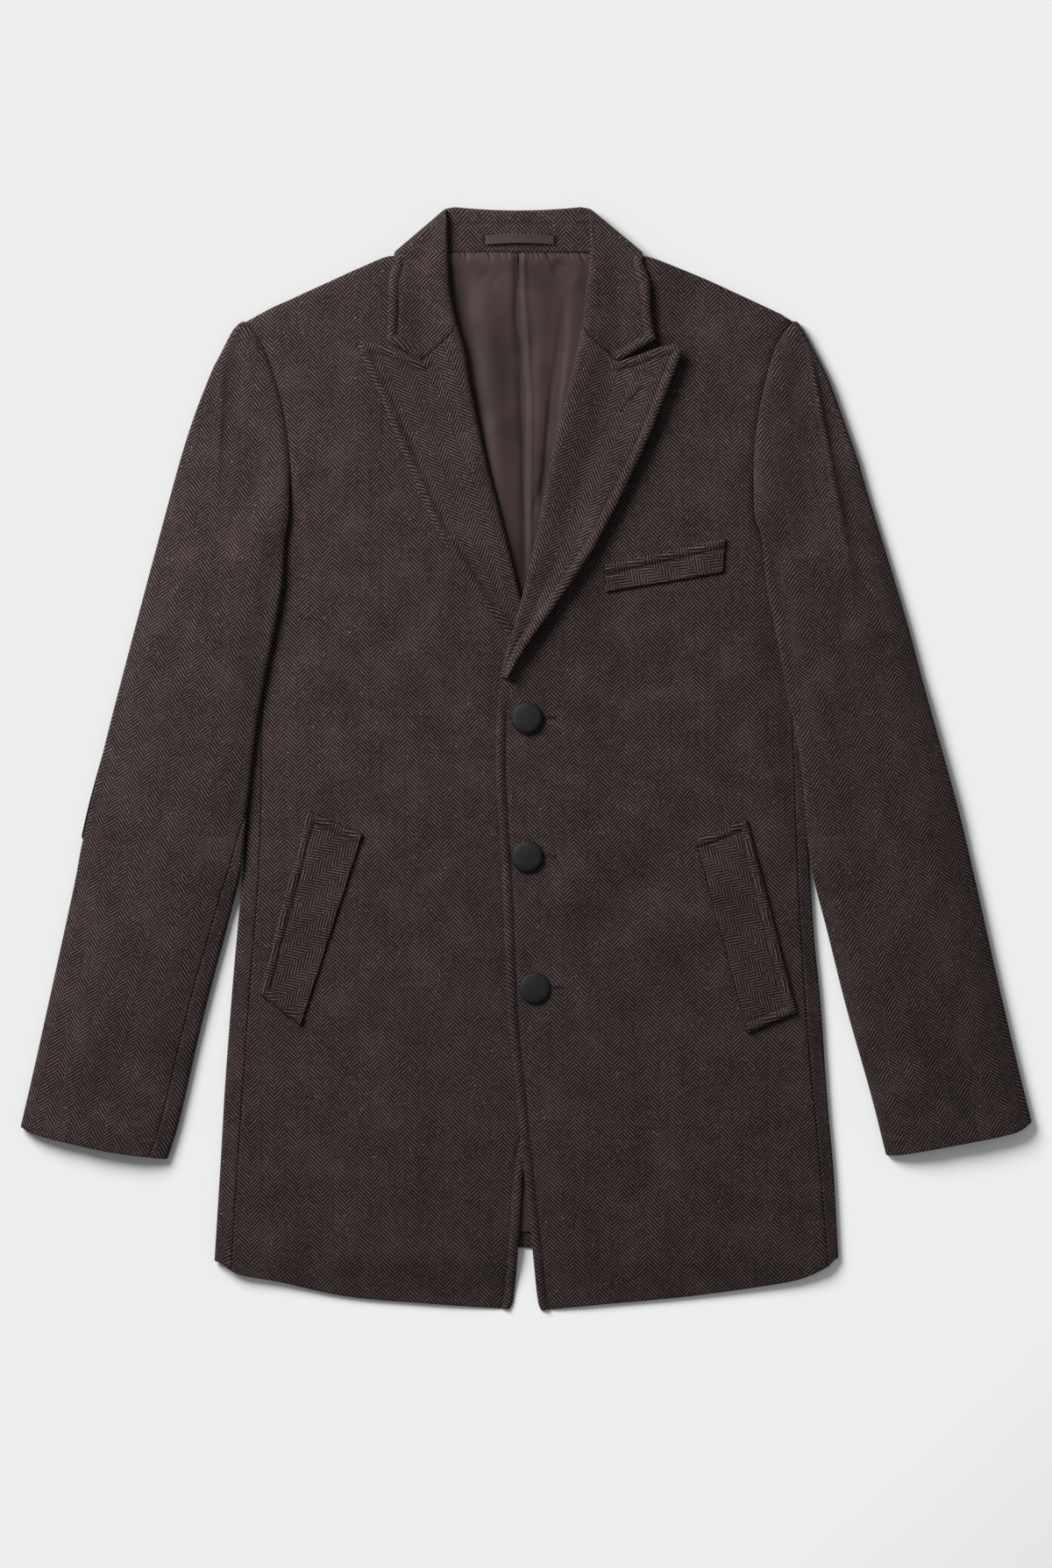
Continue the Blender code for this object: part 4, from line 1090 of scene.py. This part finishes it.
def sleeve_slack(side, x, y, from_edge):
    """Creases and slow waves of the upper face, none at its edges."""
    outside = max(-inside(side, x, y), 0)
    head = ease(ARMPIT - 25, ARMPIT + 40, y) * (HEAD_ROLL * ease(0, 5, outside) * (1 - ease(8, 30, outside)))
    head -= ease(ARMPIT - 5, ARMPIT + 15, y) * HEAD_SINK * math.exp(-((outside / 2.2) ** 2))
    waves = creases(SLEEVE_CREASES[side], x, y) + 1.2 * ripple(x, y, 20 + 3 * SIGN[side])
    return waves * ease(0, 14, from_edge) + head


def make_sleeve(side):
    sign = SIGN[side]
    lap = Vector((-sign * SLEEVE_LAP, 0))
    hole = [point + lap for point in table_line(OUTLINE[side], ARMPIT + 2, OUTLINE[side][-1][0])]
    inner = route(smooth_line(SLEEVE_INNER[side]), hole)
    outer = route(list(reversed(smooth_line(SLEEVE_OUTER[side]))))
    plan = panel(outer, inner, route(smooth_line(CUFF[side])), route([outer(1), inner(1)]))
    upper_rows, under_rows = [], []

    def levels(u, v):
        """A place on the sleeve's plan and its two levels, which meet as the crown turns down."""
        x, y = plan(u, v)
        under, upper = sleeve_levels(side, x, y)
        share = min(max(1 - (1 - v) * inner.length / CROWN_ROUND, 0), 1)
        upper -= CROWN_DROP * (1 - math.sqrt(1 - share * share))
        from_inner = (inner(v) - Vector((x, y))).length
        from_outer = (outer(v) - Vector((x, y))).length
        folded = 1 - ease(150, ARMPIT + 10, y)
        share = from_outer / max(from_outer + from_inner, 1e-6)
        puff = PUFF * (1 - abs(2 * share - 1) ** 2.8)
        upper += puff * (1 - ease(90, 300, y)) * (1 - 0.4 * ease(-200, -300, y))
        slack = max(upper - under - PITCH, 0)
        by_inner = max(1 - from_inner / INNER_ROUND, 0)
        by_outer = max(1 - from_outer / OUTER_ROUND, 0)
        drop = (1 - math.sqrt(1 - by_inner * by_inner)) * folded
        drop += 0.9 * (1 - math.sqrt(1 - by_outer * by_outer)) * (1 - ease(200, 300, y))
        return x, y, under, upper - slack * drop

    def turn_point(u, v, degrees):
        x, y, under, upper = levels(u, v)
        return Vector((x, y, (under + upper) / 2 + (upper - under) / 2 * math.sin(math.radians(degrees))))

    def under_point(u, v):
        x, y, under, _ = levels(u, v)
        return Vector((x, y, under))

    for v in shares(inner.length, 5, RIM + (3, 6), RIM + (2.5, 4)):
        start, end = outer(v), inner(v)
        width = (end - start).length
        closed = 1 - ease(150, ARMPIT + 10, end.y)

        def upper_point(u):
            x, y, _, upper = levels(u, v)
            return Vector((x, y, upper + sleeve_slack(side, x, y, min(u, 1 - u) * width)))

        under, upper = levels(0, v)[2:]
        reach = min((upper - under + WALL) / 2, width * 0.4)
        under, upper = levels(1, v)[2:]
        radius = max((upper - under) / 2, 0.5)
        bend = min(radius + WALL / 2, 0.5 * width)
        seam = read(SLEEVE_SEAM[side], end.y)
        low = -math.pi * radius

        def outer_turn(degrees):
            u = (reach - (reach - min(WALL / 2, 0.3 * reach)) * math.cos(math.radians(degrees))) / width
            return turn_point(u, v, degrees)

        def inner_fold(along):
            """A point on the inner fold: in along the upper face, or round the fold if negative."""
            if along > 0:
                return upper_point(1 - (bend + along) / width)
            turn = math.pi / 2 + along / radius
            return turn_point(1 - (bend - radius * math.cos(turn)) / width, v, math.degrees(turn))

        row = [outer_turn(degrees) for degrees in (4, 8, 14, 24, 36, 48, 62, 76)]
        tail = TAIL[-1]
        fit = min(1, 0.5 * width / tail)
        open_row = [upper_point(u) for u in evenly(56, reach / width, 1 - fit * tail / width)]
        open_row += [upper_point(1 - fit * distance / width) for distance in reversed(TAIL[:-1])]
        shut_row = [upper_point(u) for u in evenly(56, reach / width, 1 - (bend + seam + tail) / width)]
        shut_row += [inner_fold(seam + distance) for distance in reversed(TAIL[:-1])]
        upper_rows.append(row + [flat.lerp(folded, closed) for flat, folded in zip(open_row, shut_row)])

        row = [outer_turn(degrees) for degrees in (-40, -44, -50, -58, -68, -80)]
        open_row = [under_point(u, v) for u in evenly(22, reach / width, 1 - bend / width)]
        row += open_row
        lip = [mix(low, seam - SEAM, share) for share in LIP]
        row += [
            under_point(1 - bend * (1 - share) / width, v).lerp(inner_fold(along), closed)
            for share, along in zip(LIP, lip)
        ]
        under_rows.append(row)
    cloth("sleeve_upper_" + side, upper_rows, arc_weave(upper_rows, 30), rests_on=["sleeve_under_" + side])
    cloth("sleeve_under_" + side, under_rows, arc_weave(under_rows, 16), rests_on=["front_" + side])


for side in SIDES:
    make_sleeve(side)

# ------------------------------------------------------------------------------
# Elbow patches. Black suede ovals sewn flat under the sleeves. One peeps out past the left sleeve's outer
# fold.

PATCH_WALL = 1.2
PATCH_SHOW = {"left": 2.3, "right": -2}  # how far the patch reaches out past the sleeve's outer fold
SUEDE_DARK = (0.0018, 0.0015, 0.0015, 1)
SUEDE_LIGHT = (0.005, 0.0042, 0.0042, 1)
# Section from the top face's middle round to the underside's: share of the way out, height in walls
PATCH_SECTION = [(0.5, 1), (0.97, 1), (0.985, 0.92), (1, 0.65), (1, 0.3), (0.985, 0), (0.5, 0)]


def make_suede():
    finish, tree, shader = new_finish("elbow suede", 0.95, Specular_IOR_Level=0.1, Sheen_Weight=0.02)
    place = weave_place(tree)[2]
    nap = noise(place, 1.1, 3, 0.6)
    feed(blend(smooth(nap, 0.3, 0.7), SUEDE_DARK, SUEDE_LIGHT), shader, "Base Color")
    feed(bump(nap, 0.15, 0.6), shader, "Normal")
    return finish


SUEDE = make_suede()


def patch_outline(side):
    """A squarish oval, flattened where it would reach too far past the sleeve."""
    middle_x, middle_y, half_width, half_length, turn = ELBOW_PATCH[side]
    tilt = Matrix.Rotation(math.radians(turn), 2)
    fold = [(y, SIGN[side] * x) for x, y in SLEEVE_OUTER[side]]
    outline = []
    for step in range(96):
        angle = 2 * math.pi * step / 96
        across = math.copysign(abs(math.cos(angle)) ** 0.62, math.cos(angle))
        along = math.copysign(abs(math.sin(angle)) ** 0.62, math.sin(angle))
        place = tilt @ Vector((half_width * across, half_length * along))
        x, y = middle_x + place.x, middle_y + place.y
        past = mix(PATCH_SHOW[side], -0.5, ease(-50, 45, y))
        outline.append(Vector((SIGN[side] * min(SIGN[side] * x, read(fold, y) + past), y)))
    return outline


def weave_from_above(shape, layer):
    for face in shape.faces:
        for corner in face.loops:
            corner[layer].uv = corner.vert.co.xy


def make_patch(side):
    """The oval as a closed disc: its outline rounded over, its two faces filled."""
    disc = bmesh.new()
    layer = disc.loops.layers.uv.new("weave")
    middle = Vector(ELBOW_PATCH[side][:2])
    loops = []
    for scale, height in PATCH_SECTION:
        ring = [middle.lerp(point, scale) for point in patch_outline(side)]
        loops.append([disc.verts.new((x * MM, y * MM, height * PATCH_WALL * MM)) for x, y in ring])
    for upper, lower in zip(loops, loops[1:]):
        for i in range(len(upper)):
            j = (i + 1) % len(upper)
            disc.faces.new((upper[i], lower[i], lower[j], upper[j]))
    disc.faces.new(loops[0])
    disc.faces.new(list(reversed(loops[-1])))
    weave_from_above(disc, layer)
    stand_for(make_piece("elbow_patch_suede_" + side, disc, SUEDE), "elbow_patch_" + side)


for side in SIDES:
    make_patch(side)

# ------------------------------------------------------------------------------
# Pocket welts. Strips of tweed cut across the cloth, folded and sewn down over the chest pocket and the two
# slanted hip pockets. A pressed roll runs along the chest welt's top edge, and round the hip welts' ends and
# outer side.

WELTS = {  # corners: lower inner, lower outer, upper outer, upper inner; and the turn of the weave in degrees
    "welt_chest": ([(64, 135.3), (159.5, 151.5), (161, 179), (63.3, 157)], 53),
    "welt_hip_left": ([(-182.5, -215.5), (-216, -189), (-177, -42), (-132.5, -61)], -58),
    "welt_hip_right": ([(179.5, -221.5), (219, -205), (178.5, -48.5), (137, -64.5)], 58),
}


def make_welt(name):
    corners, weave_turn = WELTS[name]
    side = "left" if name.endswith("left") else "right"
    low_in, low_out, high_out, high_in = [Vector(corner) for corner in corners]
    long_side = (high_out - low_out).length
    short_side = (low_out - low_in).length
    rolled = [high_in, high_out] if name == "welt_chest" else [low_in, low_out, high_out, high_in]
    edge_away = edge_distance(rolled)
    places = []
    for v in shares(long_side, 3.5, TURNED, TURNED):
        row = []
        for u in shares(short_side, 3.5, TURNED, TURNED):
            low, high = low_in.lerp(low_out, u), high_in.lerp(high_out, u)
            x, y = low.lerp(high, v)
            row.append((x, y, cloth_level(side, x, y) + WALL + SEAM + turned_edge(edge_away(x, y))))
        places.append(row)
    cloth(name, places, flat_weave(places, weave_turn), rests_on=["front_" + side])


for name in WELTS:
    make_welt(name)

# ------------------------------------------------------------------------------
# Buttons. Flat domes covered in charcoal cloth over a metal shell, each sewn through to the left front.

BUTTONS = {"button_1": (0.4, 33.7), "button_2": (0.7, -78.5), "button_3": (6.7, -185.0)}
BUTTON_RADIUS = 12.8
BUTTON_HEIGHT = 4.6
# Half section from the middle of the face to the underside: share of the radius, share of the height
BUTTON_SECTION = [
    (0.0, 1.0), (0.2, 0.995), (0.42, 0.975), (0.62, 0.93), (0.78, 0.865), (0.88, 0.78), (0.945, 0.66),
    (0.985, 0.5), (1.0, 0.34), (0.985, 0.19), (0.95, 0.08), (0.9, 0.03), (0.6, 0.0), (0.0, 0.0),
]
CHARCOAL_DARK = (0.0074, 0.0070, 0.0080, 1)
CHARCOAL_LIGHT = (0.0122, 0.0116, 0.0130, 1)


def make_button_cover():
    finish, tree, shader = new_finish("covered button", 0.6, Specular_IOR_Level=0.15)
    place = weave_place(tree)[2]
    grain = noise(place, 0.5, 2)
    cloud = noise(place, 7, 2)
    tone = smooth(grain * 0.35 + cloud * 0.65, 0.3, 0.7)
    feed(blend(tone, CHARCOAL_DARK, CHARCOAL_LIGHT), shader, "Base Color")
    feed(bump(grain, 0.06, 0.5), shader, "Normal")
    return finish


BUTTON_COVER = make_button_cover()


def make_button(name, x, y):
    underside = cloth_level("right", x, y + BUTTON_RADIUS) + 1.25 + SEAM
    turned = bmesh.new()
    layer = turned.loops.layers.uv.new("weave")
    line = []
    for radius, height in BUTTON_SECTION:
        line.append(turned.verts.new(Vector((radius * BUTTON_RADIUS, 0, height * BUTTON_HEIGHT)) * MM))
    edges = [turned.edges.new(pair) for pair in zip(line, line[1:])]
    bmesh.ops.spin(turned, geom=line + edges, cent=(0, 0, 0), axis=(0, 0, 1), angle=2 * math.pi, steps=72)
    bmesh.ops.remove_doubles(turned, verts=turned.verts, dist=1e-6)
    bmesh.ops.recalc_face_normals(turned, faces=turned.faces)
    weave_from_above(turned, layer)
    piece = make_piece(name + "_cover", turned, BUTTON_COVER)
    piece.location = (x * MM, y * MM, underside * MM)
    stand_for(piece, name)


for name, (x, y) in BUTTONS.items():
    make_button(name, x, y)

# ------------------------------------------------------------------------------
# Sewing. Dark brown thread: wrapped round the buttonholes' slits, sunk beside the welts and in the gorges,
# run along the top of the neck's stand, and in a box round the hanger loop. Beside the welts and in the
# gorges it is thick and near black, so it is painted shadow of the sunk seams as well as thread. Each
# stitch is a short, plump length of thread that dips at its ends.

THREAD = 0.42  # thickness
STITCH_SIDES = 6
SEAM_THREAD_AND_SHADOW = 1.0  # as thick as a seam's shadow: a line of thread that is also painted shadow of the seam's ditch
THREAD_DARK = (0.003, 0.002, 0.002, 1)
THREAD_LIGHT = (0.011, 0.0075, 0.007, 1)
SEAM_OUT = 0.5  # the dark thread beside a welt, thread and painted shadow of its edge, lies this far out from its edge
# Ends of the buttonholes: x, y
BUTTONHOLES = [((-3, 33.7), (22.0, 33.9)), ((-3, -78.5), (22.3, -78.0)), ((3, -185.0), (29.0, -184.6))]
LAPEL_HOLE = ((75.8, 283.6), (94.2, 302.8))
LOOP_BOX = ((-35.2, 415.3), (25.2, 415.3), (25.2, 425.2), (-35.2, 425.2))


def make_thread():
    finish, tree, shader = new_finish("sewing thread", 0.6, Specular_IOR_Level=0.2)
    place = add_node(tree, "ShaderNodeTexCoord", {}, {}, 3)
    twist = add_node(tree, "ShaderNodeTexNoise", {}, {"Vector": place, "Scale": 2500, "Detail": 1})
    feed(blend(twist, THREAD_DARK, THREAD_LIGHT), shader, "Base Color")
    return finish


def add_stitch(sewing, start, end, dip=0.25, thickness=THREAD):
    """One stitch between two points in millimetres, as a tube that swells in the middle."""
    run = end - start
    side = run.cross(Vector((0, 0, 1))).normalized()
    rise = side.cross(run).normalized()
    rings = []
    for share in (0, 0.12, 0.35, 0.65, 0.88, 1):
        arch = math.sin(math.pi * share) ** 0.5
        middle = start + run * share + rise * (arch - 1) * dip
        radius = thickness / 2 * (0.35 + 0.65 * arch)
        ring = []
        for corner in range(STITCH_SIDES):
            turn = 2 * math.pi * corner / STITCH_SIDES
            spoke = radius * (side * math.cos(turn) + rise * math.sin(turn))
            ring.append(sewing.verts.new((middle + spoke) * MM))
        rings.append(ring)
    for first, second in zip(rings, rings[1:]):
        for i in range(STITCH_SIDES):
            j = (i + 1) % STITCH_SIDES
            sewing.faces.new((first[i], first[j], second[j], second[i]))
    sewing.faces.new(list(reversed(rings[0])))
    sewing.faces.new(rings[-1])


def run_stitches(sewing, points, length, gap, level, thickness=THREAD):
    """A row of running stitches along a line of x, y, at a height given by level(x, y)."""
    line = route([Vector(point) for point in points])
    place = 0.0
    while place + length < line.length:
        start, end = line(place / line.length), line((place + length) / line.length)
        add_stitch(sewing, Vector((*start, level(*start))), Vector((*end, level(*end))), 0.15, thickness)
        place += length + gap


def wrap_slit(sewing, start, end, level, reach=1.3, bar=1.5):
    """A buttonhole: thread wrapped close together over both lips of a slit, and a bar tack at its end."""
    start, end = Vector(start), Vector(end)
    along = (end - start).normalized()
    away = Vector((-along.y, along.x))
    pitch = 0.62
    count = int((end - start).length / pitch)
    for step in range(count):
        place = start + along * pitch * step
        for lip in (-1, 1):
            near, far = place + away * lip * 0.16, place + away * lip * reach + along * pitch * 0.3
            add_stitch(sewing, Vector((*near, level(*near) - 0.1)), Vector((*far, level(*far))), 0.1)
    for step in range(4):
        place = end + along * (0.1 + 0.35 * step)
        low, high = place - away * bar, place + away * bar
        add_stitch(sewing, Vector((*low, level(*low) + 0.15)), Vector((*high, level(*high) + 0.15)), 0.2)


THREAD_FINISH = make_thread()


def front_face(x, y):
    """The upper face of the right front."""
    return cloth_level("right", x, y) + WALL / 2 + 0.2


def leaf_face(side, x, y):
    """The upper face of a lapel, from the nearest points of its grid."""
    away = numpy.hypot(LEAVES[side][:, 0] - x, LEAVES[side][:, 1] - y)
    nearest = numpy.argsort(away)[:4]
    weight = 1 / (away[nearest] + 0.05)
    return float((LEAVES[side][nearest, 2] * weight).sum() / weight.sum()) + WALL / 2


buttonholes = bmesh.new()
for start, end in BUTTONHOLES:
    wrap_slit(buttonholes, start, end, front_face)
wrap_slit(buttonholes, LAPEL_HOLE[1], LAPEL_HOLE[0], lambda x, y: leaf_face("right", x, y) + 0.5, 0.8, 2.4)
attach(make_piece("buttonhole_thread", buttonholes, THREAD_FINISH), "root")

# Thick, near-black thread beside the welts and in the gorges: thread, and painted shadow of the sunk seams
seam_thread_and_shade = bmesh.new()
for name, (corners, _) in WELTS.items():
    welt_side = "left" if name.endswith("left") else "right"
    low_in, low_out, high_out, high_in = [Vector(corner) for corner in corners]
    middle = (low_in + low_out + high_out + high_in) / 4
    sewn = [high_in, low_in, low_out, high_out]
    if name != "welt_chest":
        sewn = [high_out, high_in, low_in, low_out]
    for start, end in zip(sewn, sewn[1:]):
        outward = Vector(((end - start).y, (start - end).x)).normalized() * SEAM_OUT
        outward *= math.copysign(1, outward.dot(start - middle))
        run_stitches(
            seam_thread_and_shade, [start + outward, end + outward], 3.4, 0.05,
            lambda x, y: cloth_level(welt_side, x, y) + WALL / 2 + 0.5, SEAM_THREAD_AND_SHADOW,
        )
for side in SIDES:
    first, corner = Vector(GORGE[side][0]).lerp(Vector(GORGE[side][1]), 0.1), Vector(GORGE[side][1])
    run_stitches(seam_thread_and_shade, [first, corner], 2.6, 0.05, lambda x, y: leaf_face(side, x, y) + 0.1, SEAM_THREAD_AND_SHADOW)
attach(make_piece("seam_thread_painted_shadow", seam_thread_and_shade, THREAD_FINISH), "root")

neck_sewing = bmesh.new()
stand_seam = [(-60, STAND_SEAM + 1), (46, STAND_SEAM + 1)]
run_stitches(neck_sewing, stand_seam, 2.3, 0.9, lambda x, y: STAND_LEVEL + WALL / 2)
box = LOOP_BOX + LOOP_BOX[:1]
for start, end in zip(box, box[1:]):
    run_stitches(neck_sewing, [start, end], 1.9, 0.8, lambda x, y: STAND_LEVEL + WALL / 2 + 0.1)
for x in (LOOP_ENDS[0] - 0.9, LOOP_ENDS[0] + 0.2, LOOP_ENDS[1] - 0.2, LOOP_ENDS[1] + 0.9):
    low, high = Vector((x, LOOP_EDGES[0] - 0.8)), Vector((x, LOOP_EDGES[1] + 0.8))
    run_stitches(neck_sewing, [low, high], 1.2, 0.1, lambda x, y: STAND_LEVEL + WALL / 2 + 0.75)
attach(make_piece("neck_thread", neck_sewing, THREAD_FINISH), "root")

# ------------------------------------------------------------------------------
# Table, light and camera. A pale table; a broad soft light from the upper left and an even glow from all
# round; the camera looks straight down through a long lens.

SCALE = 0.71  # millimetres to a pixel of the photograph
PHOTO = (1200, 1789)
PHOTO_MIDDLE = Vector(((PHOTO[0] / 2 - 600.5) * SCALE, (866.5 - PHOTO[1] / 2) * SCALE))
LENS = 100.0
SENSOR = 36.0
LAMP = Vector((-1.38, 1.34, 1.36))  # metres, above the upper left corner
LAMP_RADIUS = 0.62
LAMP_POWER = 396.0
GLOW = 0.30
TABLE_SHINE = 0.855  # what the table sends up, the same all over it


def make_table():
    """The table's own tone makes up for the lamp's falloff, so that it looks evenly pale."""
    top = bmesh.new()
    bmesh.ops.create_grid(top, x_segments=8, y_segments=8, size=3.0)
    finish, tree, shader = new_finish("table", 1.0, Specular_IOR_Level=0.0)
    place = add_node(tree, "ShaderNodeTexCoord", {}, {}, 3)
    away = add_node(tree, "ShaderNodeVectorMath", {"operation": "DISTANCE"}, {0: place, 1: LAMP}, 1)
    lamp_light = LAMP_POWER * LAMP.z / (4 * math.pi) / away.math("POWER", 3)
    tone = (TABLE_SHINE * math.pi / (lamp_light + GLOW * math.pi)).math("MINIMUM", 0.98)
    feed(blend(tone, (0, 0, 0, 1), (1, 1, 0.997, 1)), shader, "Base Color")
    table = make_piece("table_top", top, finish)
    table.location.z = -0.00005


make_table()
lamp = bpy.data.objects.new("soft_lamp", bpy.data.lights.new("soft_lamp", "POINT"))
lamp.data.energy = LAMP_POWER
lamp.data.shadow_soft_size = LAMP_RADIUS
lamp.data.use_soft_falloff = False
lamp.location = LAMP
bpy.context.scene.collection.objects.link(lamp)
world = bpy.data.worlds.new("glow")
world.use_nodes = True
world.node_tree.nodes["Background"].inputs["Color"].default_value = (1, 1, 1, 1)
world.node_tree.nodes["Background"].inputs["Strength"].default_value = GLOW
bpy.context.scene.world = world
bpy.context.scene.view_settings.view_transform = "Standard"

camera = bpy.data.objects.new("camera", bpy.data.cameras.new("camera"))
camera.data.lens = LENS
camera.data.sensor_width = SENSOR
distance = LENS / SENSOR * PHOTO[1] * SCALE * MM
camera.location = (PHOTO_MIDDLE.x * MM, PHOTO_MIDDLE.y * MM, distance + FRONT_LEVEL * MM)
bpy.context.scene.collection.objects.link(camera)
bpy.context.scene.camera = camera
